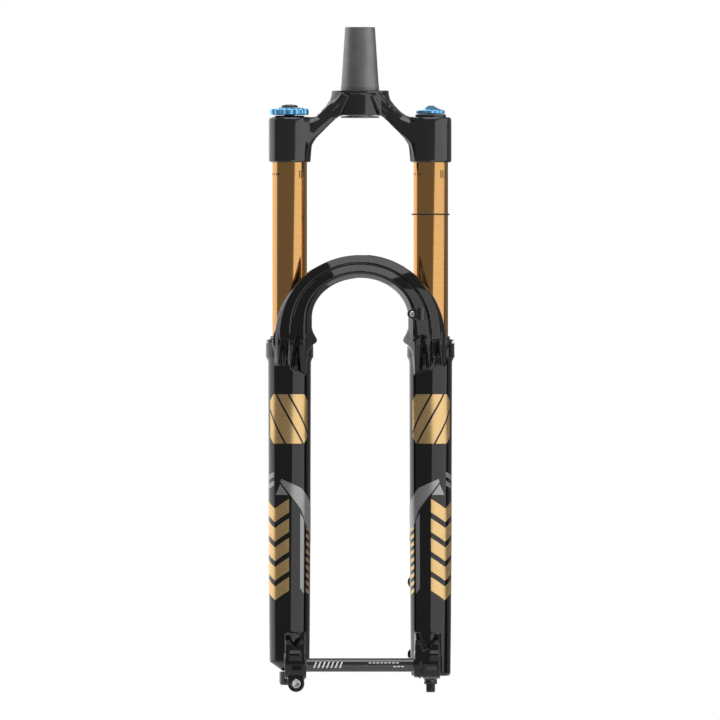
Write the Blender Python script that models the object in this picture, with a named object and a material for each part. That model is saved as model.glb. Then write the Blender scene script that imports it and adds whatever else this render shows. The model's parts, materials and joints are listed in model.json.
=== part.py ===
"""Single-crown bicycle suspension fork, built as the pieces it comes apart into on a bench.

Frame: metres, +Z up the steerer, front of the fork towards -Y, disc side towards +X.
The origin is on the steerer axis, in the plane of the crown race seat.
The -X leg holds the damper and the +X leg holds the air spring.
"""

import math

import bmesh
import bpy

MM = 0.001

# Driving dimensions
STANCHION_R = 18.0 * MM
STANCHION_BORE_R = 16.4 * MM
LEG_X = 72.3 * MM  # half the distance between the two leg axes
LEG_Y = -14.0 * MM  # crown offset: the legs stand ahead of the steerer
AXLE_Y = -44.0 * MM  # total offset of the wheel axle
AXLE_Z = -588.4 * MM
HUB_FACE_X = 55.0 * MM  # half of the 110 mm hub width
RUNNING_GAP = 0.4 * MM

# Heights along the legs
STEERER_TOP_Z = 65.0 * MM
CLAMP_TOP_Z = -27.5 * MM
CLAMP_BOTTOM_Z = -74.1 * MM
STANCHION_TOP_Z = -27.8 * MM
STANCHION_BOTTOM_Z = -399.0 * MM
COLLAR_TOP_Z = -257.0 * MM
LEG_FLOOR_Z = -575.0 * MM  # floor of the oil bath inside each leg
AIR_FOOT_Z = -600.0 * MM
DAMPER_FOOT_Z = -595.0 * MM

# Round counts: seen, hidden and very small pieces
FINE = 36
PLAIN = 24
SMALL = 12

CLAMP_R = 21.5 * MM
AXLE_R = 7.5 * MM
DROPOUT_R = 14.5 * MM
PINCH_X = -65.4 * MM
PINCH_Z = -607.6 * MM
EAR_HALF = 11.0 * MM  # half the length of the two pinch ears and their slot
POST_X = 56.0 * MM
POST_SPACING = 74.2 * MM
POST_MIDDLE_Z = -541.0 * MM
POST_FACE_Y = LEG_Y + 30.0 * MM
GUIDE_Z = -229.3 * MM
BLEEDER_Z = -266.0 * MM
ARCH_FRONT_Y = LEG_Y - 43.5 * MM
ARCH_BACK_Y = LEG_Y - 23.5 * MM
GUIDE_FACE_Y = LEG_Y - 43.0 * MM


# Shapes


def clear_scene():
    for obj in list(bpy.data.objects):
        bpy.data.objects.remove(obj)


def make_material(name, colour, roughness, metallic=0.0):
    """A Principled BSDF material of one colour."""
    material = bpy.data.materials.new(name)
    material.use_nodes = True
    shader = material.node_tree.nodes["Principled BSDF"]
    shader.inputs["Base Color"].default_value = (*colour, 1.0)
    shader.inputs["Roughness"].default_value = roughness
    shader.inputs["Metallic"].default_value = metallic
    return material


def add_object(name, bm, material, place=(0, 0, 0), turn=(0, 0, 0)):
    """A named object from a bmesh, with its faces pointing out and its rounds shaded smooth."""
    bmesh.ops.recalc_face_normals(bm, faces=bm.faces)
    mesh = bpy.data.meshes.new(name)
    bm.to_mesh(mesh)
    bm.free()
    mesh.materials.append(material)
    mesh.shade_smooth()
    mesh.set_sharp_from_angle(angle=math.radians(35))
    obj = bpy.data.objects.new(name, mesh)
    obj.location = place
    obj.rotation_euler = turn
    bpy.context.scene.collection.objects.link(obj)
    return obj


def round_shape(angle):
    return 1.0


def hexagon(angle):
    """Distance to a hexagon's edge, as a share of the distance to its corner."""
    sector = math.radians(60)
    return math.cos(sector / 2) / math.cos((angle % sector) - sector / 2)


def knob_lobes(angle, lobes=14, depth=0.055):
    """Finger scallops round a knob's rim."""
    return 1.0 - depth * (0.5 - 0.5 * math.cos(lobes * angle)) ** 2


def turned(name, profile, material, count=PLAIN, place=(0, 0, 0), turn=(0, 0, 0)):
    """Revolves a profile of (radius, height[, shape]) about local Z.

    A profile that starts and ends on the axis makes a solid, and any other one closes on itself.
    """
    bm = bmesh.new()
    rings = []
    for radius, height, *shape in profile:
        outline = shape[0] if shape else round_shape
        if radius == 0:
            rings.append([bm.verts.new((0, 0, height))])
            continue
        ring = []
        for i in range(count):
            angle = 2 * math.pi * i / count
            r = radius * outline(angle)
            ring.append(bm.verts.new((r * math.cos(angle), r * math.sin(angle), height)))
        rings.append(ring)
    pairs = list(zip(rings, rings[1:]))
    if profile[0][0] != 0:
        pairs.append((rings[-1], rings[0]))
    for a, b in pairs:
        for i in range(count):
            j = (i + 1) % count
            corners = [a[i % len(a)], a[j % len(a)], b[j % len(b)], b[i % len(b)]]
            corners = list(dict.fromkeys(corners))
            if len(corners) > 2:
                bm.faces.new(corners)
    return add_object(name, bm, material, place, turn)


def ring_of(name, major, minor, height, material, place, count=PLAIN, sides=6):
    """A round-section ring about local Z at the given height."""
    profile = []
    for i in range(sides):
        angle = 2 * math.pi * i / sides
        profile.append((major + minor * math.cos(angle), height + minor * math.sin(angle)))
    return turned(name, profile, material, count, place)


def tube_profile(inner, outer, low, high):
    return [(inner, low), (outer, low), (outer, high), (inner, high)]


def rod_profile(radius, low, high):
    return [(0, low), (radius, low), (radius, high), (0, high)]


def extruded(name, outline, low, high, axis, material):
    """Extrudes an outline along X, Y or Z between two positions.

    The outline's pairs are (Y, Z) for X, (X, Z) for Y and (X, Y) for Z.
    """
    place = {
        "X": lambda u, v, w: (w, u, v),
        "Y": lambda u, v, w: (u, w, v),
        "Z": lambda u, v, w: (u, v, w),
    }[axis]
    bm = bmesh.new()
    near = [bm.verts.new(place(u, v, low)) for u, v in outline]
    far = [bm.verts.new(place(u, v, high)) for u, v in outline]
    bm.faces.new(near)
    bm.faces.new(far)
    for i in range(len(outline)):
        j = (i + 1) % len(outline)
        bm.faces.new((near[i], near[j], far[j], far[i]))
    return add_object(name, bm, material)


def box(name, low, high, material):
    outline = [(low[0], low[1]), (high[0], low[1]), (high[0], high[1]), (low[0], high[1])]
    return extruded(name, outline, low[2], high[2], "Z", material)


def combine(target, operation, tools):
    """Joins, cuts or intersects the target with tools, which stay in the file as hidden helpers."""
    group = bpy.data.collections.new(f"{target.name}_{operation.lower()}")
    group.hide_render = True
    bpy.context.scene.collection.children.link(group)
    for tool in tools:
        for home in list(tool.users_collection):
            home.objects.unlink(tool)
        group.objects.link(tool)
        tool.hide_render = True
        tool.display_type = "WIRE"
    modifier = target.modifiers.new(operation.title(), "BOOLEAN")
    modifier.operation = operation
    modifier.operand_type = "COLLECTION"
    modifier.collection = group
    modifier.solver = "EXACT"


ALONG_X = (0, math.pi / 2, 0)  # local +Z points to +X
TO_FRONT = (math.pi / 2, 0, 0)  # local +Z points to -Y
TO_BACK = (-math.pi / 2, 0, 0)  # local +Z points to +Y


def leg_axis(side):
    """A point on a leg's axis; side is -1 for the damper leg and 1 for the air leg."""
    return (side * LEG_X, LEG_Y, 0)


# Crown, steerer and stanchions


def build_steerer(mat):
    lower_r = 19.7 * MM
    upper_r = 15.35 * MM
    wall = 3.2 * MM
    profile = [
        (lower_r, -28.1 * MM),
        (lower_r, 4.0 * MM),
        (upper_r, STEERER_TOP_Z),
        (upper_r - wall, STEERER_TOP_Z),
        (upper_r - wall, 48.0 * MM),
        (lower_r - wall, 0.0),
        (lower_r - wall, -28.1 * MM),
    ]
    turned("steerer_tube", profile, mat["grey"], FINE)


def crown_silhouette():
    """The crown's outline seen from the front, as (x, z), without its clamp rings."""
    upper = [(28.4, 0), (30.7, -8.1), (36.9, -16.1), (45.1, -24.3), (53.5, -27.5), (72.3, -27.5)]
    under = [(72.3, -70), (52, -70), (50.2, -57), (45.1, -48.9), (36.9, -40.7), (22.5, -28.1)]
    right = [(x * MM, z * MM) for x, z in upper + under]
    return right + [(-x, z) for x, z in reversed(right)]


def crown_planform():
    """The crown's outline seen from above, as (x, y): arms sweep forward from steerer to legs."""
    front = [(0, -28.4), (12, -28.0), (30, -28.5), (50, -30.5), (72.3, -31.5)]
    back = [(72.3, 5.5), (52, 8.5), (34, 16.0), (22, 24.0), (12, 27.6), (0, 28.4)]
    right = [(x * MM, y * MM) for x, y in front + back]
    left = [(-x, y) for x, y in reversed(right) if x > 0]
    return right + left


def build_crown(mat):
    crown = extruded("crown", crown_silhouette(), -60 * MM, 40 * MM, "Y", mat["black"])
    plan = extruded("crown_plan", crown_planform(), -90 * MM, 10 * MM, "Z", mat["black"])
    combine(crown, "INTERSECT", [plan])
    clamp = [
        (0, CLAMP_TOP_Z),
        (CLAMP_R - 1.6 * MM, CLAMP_TOP_Z),
        (CLAMP_R, CLAMP_TOP_Z - 1.6 * MM),
        (CLAMP_R, CLAMP_BOTTOM_Z + 2 * MM),
        (CLAMP_R - 1.4 * MM, CLAMP_BOTTOM_Z),
        (0, CLAMP_BOTTOM_Z),
    ]
    clamps = [turned("clamp_ring", clamp, mat["black"], FINE, leg_axis(s)) for s in (-1, 1)]
    combine(crown, "UNION", clamps)
    cutters = [turned("steerer_seat", rod_profile(20.1 * MM, -90 * MM, 20 * MM), mat["black"], FINE)]
    for side in (-1, 1):
        bore = rod_profile(STANCHION_R + RUNNING_GAP, -90 * MM, -10 * MM)
        cutters.append(turned("stanchion_seat", bore, mat["black"], FINE, leg_axis(side)))
    combine(crown, "DIFFERENCE", cutters)


def build_stanchions(mat):
    profile = tube_profile(STANCHION_BORE_R, STANCHION_R, STANCHION_BOTTOM_Z, STANCHION_TOP_Z)
    turned("stanchion_damper_side", profile, mat["gold"], FINE, leg_axis(-1))
    turned("stanchion_air_side", profile, mat["gold"], FINE, leg_axis(1))


def build_sag_ring(mat):
    ring_of("sag_o_ring", 18.95 * MM, 0.6 * MM, -127.1 * MM, mat["rubber"], leg_axis(1), FINE)


# Air spring, in the +X leg


def build_air_cap(mat):
    axis = leg_axis(1)
    cap = [
        (4.3 * MM, -24.4 * MM),
        (15.2 * MM, -24.4 * MM),
        (16.0 * MM, -25.2 * MM),
        (16.0 * MM, -46.0 * MM),
        (3.4 * MM, -46.0 * MM),
        (3.4 * MM, -88.0 * MM),
        (1.2 * MM, -88.0 * MM),
        (1.2 * MM, -40.0 * MM),
        (4.3 * MM, -40.0 * MM),
    ]
    turned("air_top_cap", cap, mat["black_metal"], PLAIN, axis)
    valve = tube_profile(1.3 * MM, 3.9 * MM, -39.6 * MM, -17.6 * MM)
    turned("air_valve_body", valve, mat["brass"], SMALL, axis)
    turned("air_valve_pin", rod_profile(0.9 * MM, -30 * MM, -18.2 * MM), mat["brass"], SMALL, axis)
    cover = [
        (0, -15.6 * MM),
        (3.0 * MM, -15.6 * MM),
        (12.4 * MM, -20.2 * MM),
        (14.6 * MM, -20.7 * MM),
        (14.6 * MM, -23.6 * MM),
        (14.1 * MM, -24.1 * MM),
        (4.4 * MM, -24.1 * MM),
        (4.4 * MM, -17.0 * MM),
        (0, -17.0 * MM),
    ]
    turned("air_valve_cap", cover, mat["blue"], PLAIN, axis)
    spacer_height = 18.0 * MM
    for number in (1, 2):
        top = -50.0 * MM - (number - 1) * (spacer_height + RUNNING_GAP)
        profile = tube_profile(3.8 * MM, 13.0 * MM, top - spacer_height, top)
        turned(f"volume_spacer_{number}", profile, mat["orange"], PLAIN, axis)


def build_air_spring(mat):
    axis = leg_axis(1)
    shaft = [
        (0, -345.5 * MM),
        (3.0 * MM, -345.5 * MM),
        (3.0 * MM, -361.4 * MM),
        (5.0 * MM, -361.4 * MM),
        (5.0 * MM, -568.0 * MM),
        (8.0 * MM, -568.0 * MM),
        (8.0 * MM, LEG_FLOOR_Z + RUNNING_GAP),
        (4.8 * MM, LEG_FLOOR_Z + RUNNING_GAP),
        (4.8 * MM, -616.5 * MM),
        (4.3 * MM, -617.0 * MM),
        (0, -617.0 * MM),
    ]
    turned("air_shaft", shaft, mat["steel"], PLAIN, axis)
    piston = [
        (3.4 * MM, -347.0 * MM),
        (15.9 * MM, -347.0 * MM),
        (15.9 * MM, -351.5 * MM),
        (14.2 * MM, -351.5 * MM),
        (14.2 * MM, -356.5 * MM),
        (15.9 * MM, -356.5 * MM),
        (15.9 * MM, -361.0 * MM),
        (3.4 * MM, -361.0 * MM),
    ]
    turned("air_piston", piston, mat["black_plastic"], PLAIN, axis)
    plain_tubes = {
        "air_piston_seal": (14.5, 16.0, -356.1, -351.9, "rubber"),
        "top_out_bumper": (5.4, 11.0, -369.6, -361.5, "rubber"),
        "air_seal_head": (5.4, 16.0, -385.0, -371.0, "black_plastic"),
        "bottom_out_bumper": (5.4, 10.0, -567.6, -556.0, "rubber"),
        "air_foot_washer": (5.2, 6.6, -601.3, -600.3, "steel"),
    }
    for name, (inner, outer, low, high, finish) in plain_tubes.items():
        profile = tube_profile(inner * MM, outer * MM, low * MM, high * MM)
        turned(name, profile, mat[finish], PLAIN, axis)
    ring_of("seal_head_ring", 15.4 * MM, 0.55 * MM, -386.3 * MM, mat["steel"], axis)
    nut = [
        (5.2 * MM, -601.6 * MM),
        (6.9 * MM, -601.6 * MM, hexagon),
        (6.9 * MM, -607.4 * MM, hexagon),
        (5.2 * MM, -607.4 * MM),
    ]
    turned("air_foot_nut", nut, mat["black_metal"], 24, axis)


# Damper, in the -X leg


def build_damper_cap(mat):
    axis = leg_axis(-1)
    cap = [
        (0, -21.4 * MM),
        (5.1 * MM, -21.4 * MM),
        (5.1 * MM, -25.9 * MM),
        (14.4 * MM, -25.9 * MM),
        (16.0 * MM, -27.4 * MM),
        (16.0 * MM, -46.0 * MM),
        (0, -46.0 * MM),
    ]
    turned("damper_top_cap", cap, mat["black_metal"], PLAIN, axis)
    outer_knob = [
        (5.5 * MM, -25.5 * MM),
        (18.8 * MM, -25.5 * MM, knob_lobes),
        (19.75 * MM, -24.6 * MM, knob_lobes),
        (19.75 * MM, -19.6 * MM, knob_lobes),
        (17.4 * MM, -17.6 * MM),
        (9.2 * MM, -17.6 * MM),
        (9.2 * MM, -21.0 * MM),
        (5.5 * MM, -21.0 * MM),
    ]
    turned("high_speed_compression_knob", outer_knob, mat["blue"], 56, axis)
    inner_knob = [
        (0, -15.6 * MM),
        (2.6 * MM, -15.6 * MM),
        (2.6 * MM, -14.4 * MM),
        (6.0 * MM, -14.4 * MM),
        (8.7 * MM, -16.6 * MM),
        (8.7 * MM, -20.7 * MM),
        (0, -20.7 * MM),
    ]
    turned("low_speed_compression_knob", inner_knob, mat["black_metal"], PLAIN, axis)
    screw = rod_profile(2.2 * MM, -15.3 * MM, -14.2 * MM)
    turned("compression_knob_screw", screw, mat["steel"], SMALL, axis)


def build_spring(mat):
    """The coil spring behind the floating piston."""
    coils, per_turn = 5.5, 8
    radius, wire = 8.4 * MM, 0.9 * MM
    low, high = -92.6 * MM, -47.4 * MM
    steps = int(coils * per_turn)
    curve = bpy.data.curves.new("floating_piston_spring", "CURVE")
    curve.dimensions = "3D"
    curve.bevel_depth = wire
    curve.bevel_resolution = 1
    curve.use_fill_caps = True
    spline = curve.splines.new("POLY")
    spline.points.add(steps)
    for i, point in enumerate(spline.points):
        angle = 2 * math.pi * i / per_turn
        height = low + (high - low) * i / steps
        point.co = (radius * math.cos(angle), radius * math.sin(angle), height, 1)
    curve.materials.append(mat["steel"])
    spring = bpy.data.objects.new("floating_piston_spring", curve)
    spring.location = leg_axis(-1)
    bpy.context.scene.collection.objects.link(spring)


def build_damper(mat):
    axis = leg_axis(-1)
    plain_tubes = {
        "damper_cartridge": (12.0, 13.0, -362.0, -46.4, "steel"),
        "floating_piston": (4.4, 11.6, -104.0, -94.0, "black_plastic"),
        "base_valve": (4.4, 11.6, -136.0, -122.0, "steel"),
        "rebound_piston": (3.4, 11.6, -323.0, -311.0, "steel"),
        "damper_foot_washer": (4.2, 6.4, -596.3, -595.3, "steel"),
    }
    for name, (inner, outer, low, high, finish) in plain_tubes.items():
        profile = tube_profile(inner * MM, outer * MM, low * MM, high * MM)
        turned(name, profile, mat[finish], PLAIN, axis)
    rod = rod_profile(4.0 * MM, -137.0 * MM, -46.4 * MM)
    turned("compression_rod", rod, mat["steel"], PLAIN, axis)
    shaft = [
        (1.9 * MM, -309.0 * MM),
        (3.0 * MM, -309.0 * MM),
        (3.0 * MM, -323.4 * MM),
        (5.0 * MM, -323.4 * MM),
        (5.0 * MM, -568.0 * MM),
        (8.0 * MM, -568.0 * MM),
        (8.0 * MM, LEG_FLOOR_Z + RUNNING_GAP),
        (3.9 * MM, LEG_FLOOR_Z + RUNNING_GAP),
        (3.9 * MM, -559.0 * MM),
        (1.9 * MM, -559.0 * MM),
    ]
    turned("damper_shaft", shaft, mat["steel"], PLAIN, axis)
    seal_head = [
        (5.4 * MM, -352.0 * MM),
        (11.6 * MM, -352.0 * MM),
        (11.6 * MM, -362.4 * MM),
        (16.0 * MM, -362.4 * MM),
        (16.0 * MM, -378.0 * MM),
        (5.4 * MM, -378.0 * MM),
    ]
    turned("damper_seal_head", seal_head, mat["black_plastic"], PLAIN, axis)
    foot_bolt = [
        (1.9 * MM, -560.0 * MM),
        (3.5 * MM, -560.0 * MM),
        (3.5 * MM, -596.6 * MM),
        (7.0 * MM, -596.6 * MM, hexagon),
        (7.0 * MM, -601.0 * MM, hexagon),
        (1.9 * MM, -601.0 * MM),
    ]
    turned("damper_foot_bolt", foot_bolt, mat["black_metal"], 24, axis)
    turned("rebound_rod", rod_profile(1.5 * MM, -602.2 * MM, -330 * MM), mat["steel"], SMALL, axis)
    knob = [
        (0, -602.6 * MM),
        (8.4 * MM, -602.6 * MM),
        (8.4 * MM, -595.5 * MM),
        (10.4 * MM, -595.5 * MM),
        (10.4 * MM, -607.9 * MM),
        (8.9 * MM, -609.5 * MM),
        (0, -609.5 * MM),
    ]
    turned("rebound_knob", knob, mat["black_metal"], PLAIN, axis)


# Seals and bushings between stanchions and lower legs


def build_seals(mat):
    inner = STANCHION_R + RUNNING_GAP
    wiper = [
        (inner, -251.9 * MM),
        (19.1 * MM, -251.9 * MM),
        (19.2 * MM, -255.0 * MM),
        (23.4 * MM, -255.4 * MM),
        (23.6 * MM, -256.7 * MM),
        (22.0 * MM, -256.7 * MM),
        (22.0 * MM, -265.0 * MM),
        (inner, -265.0 * MM),
    ]
    foam = tube_profile(inner, 22.0 * MM, -274.6 * MM, -265.4 * MM)
    upper = tube_profile(inner, 19.6 * MM, -296.0 * MM, -276.0 * MM)
    lower = tube_profile(inner, 19.6 * MM, -394.0 * MM, -374.0 * MM)
    for side, word in ((-1, "damper_side"), (1, "air_side")):
        axis = leg_axis(side)
        turned(f"wiper_seal_{word}", wiper, mat["rubber"], PLAIN, axis)
        ring_of(f"wiper_spring_{word}", 20.0 * MM, 0.45 * MM, -253.4 * MM, mat["steel"], axis)
        turned(f"foam_ring_{word}", foam, mat["foam"], PLAIN, axis)
        turned(f"upper_bushing_{word}", upper, mat["bronze"], PLAIN, axis)
        turned(f"lower_bushing_{word}", lower, mat["bronze"], PLAIN, axis)


# Lower casting: both legs, the arch and the dropouts in one piece


def leg_outline(foot):
    """A leg's outer profile: collar, taper and the given foot."""
    return [
        (0, COLLAR_TOP_Z),
        (23.9 * MM, COLLAR_TOP_Z),
        (24.6 * MM, COLLAR_TOP_Z - 0.7 * MM),
        (24.6 * MM, -273.4 * MM),
        (22.1 * MM, -277.8 * MM),
        (21.6 * MM, -450.0 * MM),
        (20.9 * MM, -560.0 * MM),
        *foot,
    ]


def arch_sections():
    """The arch's cross-sections from the +X foot to the -X foot.

    Each is (inner point, outer point, front y, back y), with the points as (x, z).
    """
    feet = [
        ((56.0, -289.0), (84.0, -281.0), -21.0, -12.0),
        ((50.6, -276.0), (86.0, -275.0), -27.0, -8.0),
        ((48.8, -264.0), (86.8, -269.0), -32.0, -10.0),
        ((44.0, -257.5), (87.2, -264.0), -36.0, -14.0),
        ((46.4, -250.0), (87.5, -259.5), -38.5, -22.5),
    ]
    right = []
    for (xi, zi), (xo, zo), front, back in feet:
        inner = (xi * MM, zi * MM)
        outer = (xo * MM, zo * MM)
        right.append((inner, outer, LEG_Y + front * MM, LEG_Y + back * MM))
    steps = 24
    span = []
    for i in range(steps + 1):
        angle = math.pi * i / steps
        inner = (49.5 * MM * math.cos(angle), (-233.4 + 41.2 * math.sin(angle)) * MM)
        outer = (87.6 * MM * math.cos(angle), (-255.9 + 87.5 * math.sin(angle)) * MM)
        lean = min(1.0, 2.0 * math.sin(angle))
        front = ARCH_FRONT_Y + (1 - lean) * 3.5 * MM
        span.append((inner, outer, front, ARCH_BACK_Y))
    left = [((-a[0], a[1]), (-b[0], b[1]), f, k) for a, b, f, k in reversed(right)]
    return right + span + left


def build_arch(mat):
    """The arch as a loft, its front face in three bands."""
    # share of the way from inner to outer edge, and from back to front
    section = [(0, 0), (0, 0.62), (0.26, 0.96), (0.62, 1.0), (1, 0.6), (1, 0.12), (0.9, 0)]
    bm = bmesh.new()
    rings = []
    for inner, outer, front, back in arch_sections():
        ring = []
        for across, forward in section:
            x = inner[0] + (outer[0] - inner[0]) * across
            z = inner[1] + (outer[1] - inner[1]) * across
            ring.append(bm.verts.new((x, back + (front - back) * forward, z)))
        rings.append(ring)
    bm.faces.new(rings[0])
    bm.faces.new(rings[-1])
    for a, b in zip(rings, rings[1:]):
        for i in range(len(section)):
            j = (i + 1) % len(section)
            bm.faces.new((a[i], a[j], b[j], b[i]))
    return add_object("arch", bm, mat["black"])


def dropout_pieces(mat):
    """The bosses, gussets and pinch ears that hold the axle ahead of each leg."""
    gusset = [
        (LEG_Y - 19.0 * MM, -553.0 * MM),
        (AXLE_Y - 11.5 * MM, -577.0 * MM),
        (AXLE_Y - DROPOUT_R, AXLE_Z),
        (AXLE_Y - 8.0 * MM, AXLE_Z - 12.0 * MM),
        (AXLE_Y + 6.0 * MM, AXLE_Z - 11.0 * MM),
        (LEG_Y - 12.0 * MM, AXLE_Z - 3.6 * MM),
        (LEG_Y - 10.0 * MM, -553.0 * MM),
    ]
    black = mat["black"]
    middle = (0, AXLE_Y, AXLE_Z)
    damper_boss = rod_profile(DROPOUT_R, -77.0 * MM, -HUB_FACE_X)
    air_boss = rod_profile(DROPOUT_R, HUB_FACE_X, 82.0 * MM)
    ear_r = 8.5 * MM
    ear = rod_profile(ear_r, -EAR_HALF, EAR_HALF)
    web_low = (PINCH_X - ear_r, AXLE_Y - EAR_HALF, PINCH_Z)
    web_high = (PINCH_X + ear_r, AXLE_Y + EAR_HALF, AXLE_Z)
    return [
        turned("damper_boss", damper_boss, black, PLAIN, middle, ALONG_X),
        turned("air_boss", air_boss, black, PLAIN, middle, ALONG_X),
        extruded("damper_gusset", gusset, -76.2 * MM, -56.2 * MM, "X", black),
        extruded("air_gusset", gusset, 56.2 * MM, 80.5 * MM, "X", black),
        turned("pinch_ear", ear, black, PLAIN, (PINCH_X, AXLE_Y, PINCH_Z), TO_FRONT),
        box("pinch_web", web_low, web_high, black),
    ]


def brake_posts(mat):
    """The two bosses behind the +X leg that carry the brake caliper."""
    posts = []
    for sign in (-1, 1):
        place = (POST_X, LEG_Y, POST_MIDDLE_Z + sign * POST_SPACING / 2)
        profile = rod_profile(7.5 * MM, 8.0 * MM, POST_FACE_Y - LEG_Y)
        posts.append(turned("brake_post", profile, mat["black"], 24, place, TO_BACK))
    return posts


def bleeder_bosses(mat):
    profile = rod_profile(6.0 * MM, 23.0 * MM, 31.0 * MM)
    places = [(side * LEG_X, LEG_Y, BLEEDER_Z) for side in (-1, 1)]
    return [turned("bleeder_boss", profile, mat["black"], 24, place, TO_BACK) for place in places]


def casting_cutters(mat):
    """Everything that is bored, drilled or slotted in the casting."""
    black = mat["black"]
    cavity = [
        (0, -245.0 * MM),
        (24.1 * MM, -245.0 * MM),
        (24.1 * MM, COLLAR_TOP_Z),
        (22.4 * MM, COLLAR_TOP_Z),
        (22.4 * MM, -275.0 * MM),
        (20.0 * MM, -275.0 * MM),
        (20.0 * MM, -398.0 * MM),
        (18.9 * MM, -401.0 * MM),
        (18.9 * MM, LEG_FLOOR_Z),
        (0, LEG_FLOOR_Z),
    ]
    cutters = [turned("leg_cavity", cavity, black, PLAIN, leg_axis(side)) for side in (-1, 1)]
    for side, radius in ((-1, 4.2 * MM), (1, 5.2 * MM)):
        hole = rod_profile(radius, -610.0 * MM, -570.0 * MM)
        cutters.append(turned("foot_hole", hole, black, SMALL, leg_axis(side)))
        place = (side * LEG_X, LEG_Y, BLEEDER_Z)
        bleeder = rod_profile(4.2 * MM, 23.5 * MM, 40.0 * MM)
        cutters.append(turned("bleeder_hole", bleeder, black, SMALL, place, TO_BACK))
    middle = (0, AXLE_Y, AXLE_Z)
    sleeve_bore = rod_profile(9.8 * MM, -90.0 * MM, -45.0 * MM)
    axle_bore = rod_profile(AXLE_R + 0.3 * MM, 45.0 * MM, 100.0 * MM)
    pinch = [
        (0, -20.0 * MM),
        (3.2 * MM, -20.0 * MM),
        (3.2 * MM, 7.4 * MM),
        (5.4 * MM, 7.4 * MM),
        (5.4 * MM, 20.0 * MM),
        (0, 20.0 * MM),
    ]
    slot_low = (-80.0 * MM, AXLE_Y - 1.0 * MM, -625.0 * MM)
    slot_high = (-50.0 * MM, AXLE_Y + 1.0 * MM, AXLE_Z)
    cutters += [
        turned("sleeve_bore", sleeve_bore, black, PLAIN, middle, ALONG_X),
        turned("axle_bore", axle_bore, black, PLAIN, middle, ALONG_X),
        turned("pinch_hole", pinch, black, SMALL, (PINCH_X, AXLE_Y, PINCH_Z), TO_FRONT),
        box("pinch_slot", slot_low, slot_high, black),
    ]
    for sign in (-1, 1):
        place = (POST_X, POST_FACE_Y, POST_MIDDLE_Z + sign * POST_SPACING / 2)
        tapped = rod_profile(2.6 * MM, -14.0 * MM, 5.0 * MM)
        cutters.append(turned("post_hole", tapped, black, SMALL, place, TO_BACK))
    guide = rod_profile(2.3 * MM, -9.0 * MM, 10.0 * MM)
    cutters.append(turned("guide_hole", guide, black, SMALL, guide_bolt_place(), TO_FRONT))
    return cutters + foot_pockets(mat)


def foot_pockets(mat):
    """The pairs of pockets between the ribs where the arch runs into each leg."""
    pockets = []
    for side in (-1, 1):
        for low, high, top in ((60.0, 69.0, -251.0), (73.0, 80.5, -256.0)):
            middle = (low + high) / 2
            outline = [(low, -281.0), (high, -281.0), (middle + 1.6, top), (middle - 1.6, top)]
            outline = [(side * x * MM, z * MM) for x, z in outline]
            front = LEG_Y - 50.0 * MM
            back = LEG_Y - 25.2 * MM
            pockets.append(extruded("foot_pocket", outline, front, back, "Y", mat["black"]))
    return pockets


def build_casting(mat):
    air_foot = [
        (20.5 * MM, -595.5 * MM),
        (18.6 * MM, -599.2 * MM),
        (16.0 * MM, AIR_FOOT_Z),
        (0, AIR_FOOT_Z),
    ]
    damper_foot = [
        (20.7 * MM, -584.0 * MM),
        (19.3 * MM, -588.5 * MM),
        (16.0 * MM, -592.2 * MM),
        (10.6 * MM, DAMPER_FOOT_Z),
        (0, DAMPER_FOOT_Z),
    ]
    black = mat["black"]
    casting = turned("lower_casting", leg_outline(air_foot), black, FINE, leg_axis(1))
    damper_leg = turned("damper_leg", leg_outline(damper_foot), black, FINE, leg_axis(-1))
    added = [damper_leg, build_arch(mat)]
    added += dropout_pieces(mat) + brake_posts(mat) + bleeder_bosses(mat) + [guide_boss(mat)]
    combine(casting, "UNION", added)
    combine(casting, "DIFFERENCE", casting_cutters(mat))


# Pieces fastened to the casting


def build_axle(mat):
    middle = (0, AXLE_Y, AXLE_Z)
    core_r = 7.15 * MM
    head_x = -76.6 * MM
    axle = [
        (0, head_x + 7.0 * MM),
        (3.46 * MM, head_x + 7.0 * MM, hexagon),
        (3.46 * MM, head_x, hexagon),
        (8.2 * MM, head_x),
        (8.6 * MM, head_x + 0.4 * MM),
        (8.6 * MM, head_x + 2.8 * MM),
        (AXLE_R, head_x + 2.8 * MM),
        (AXLE_R, -55.5 * MM),
        (core_r, -54.0 * MM),
        (core_r, 54.0 * MM),
        (AXLE_R, 55.5 * MM),
        (AXLE_R, 78.0 * MM),
        (AXLE_R - 1.5 * MM, 79.5 * MM),
        (0, 79.5 * MM),
    ]
    turned("thru_axle", axle, mat["black_metal"], PLAIN, middle, ALONG_X)
    sleeve = tube_profile(AXLE_R + 0.3 * MM, 9.4 * MM, -73.4 * MM, -55.4 * MM)
    turned("floating_axle_sleeve", sleeve, mat["steel"], PLAIN, middle, ALONG_X)
    bolt = [
        (0, 8.8 * MM),
        (2.3 * MM, 8.8 * MM, hexagon),
        (2.3 * MM, 11.2 * MM, hexagon),
        (4.4 * MM, 11.2 * MM),
        (5.0 * MM, 10.6 * MM),
        (5.0 * MM, 7.8 * MM),
        (2.8 * MM, 7.8 * MM),
        (2.8 * MM, -9.5 * MM),
        (0, -9.5 * MM),
    ]
    turned("pinch_bolt", bolt, mat["steel"], 24, (PINCH_X, AXLE_Y, PINCH_Z), TO_FRONT)


def guide_bolt_place():
    """The middle of the boss on the arch that carries the hose guide."""
    return (53.3 * MM, GUIDE_FACE_Y, GUIDE_Z)


def guide_boss(mat):
    profile = rod_profile(5.0 * MM, -12.0 * MM, 0)
    return turned("guide_boss", profile, mat["black"], 24, guide_bolt_place(), TO_FRONT)


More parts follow.
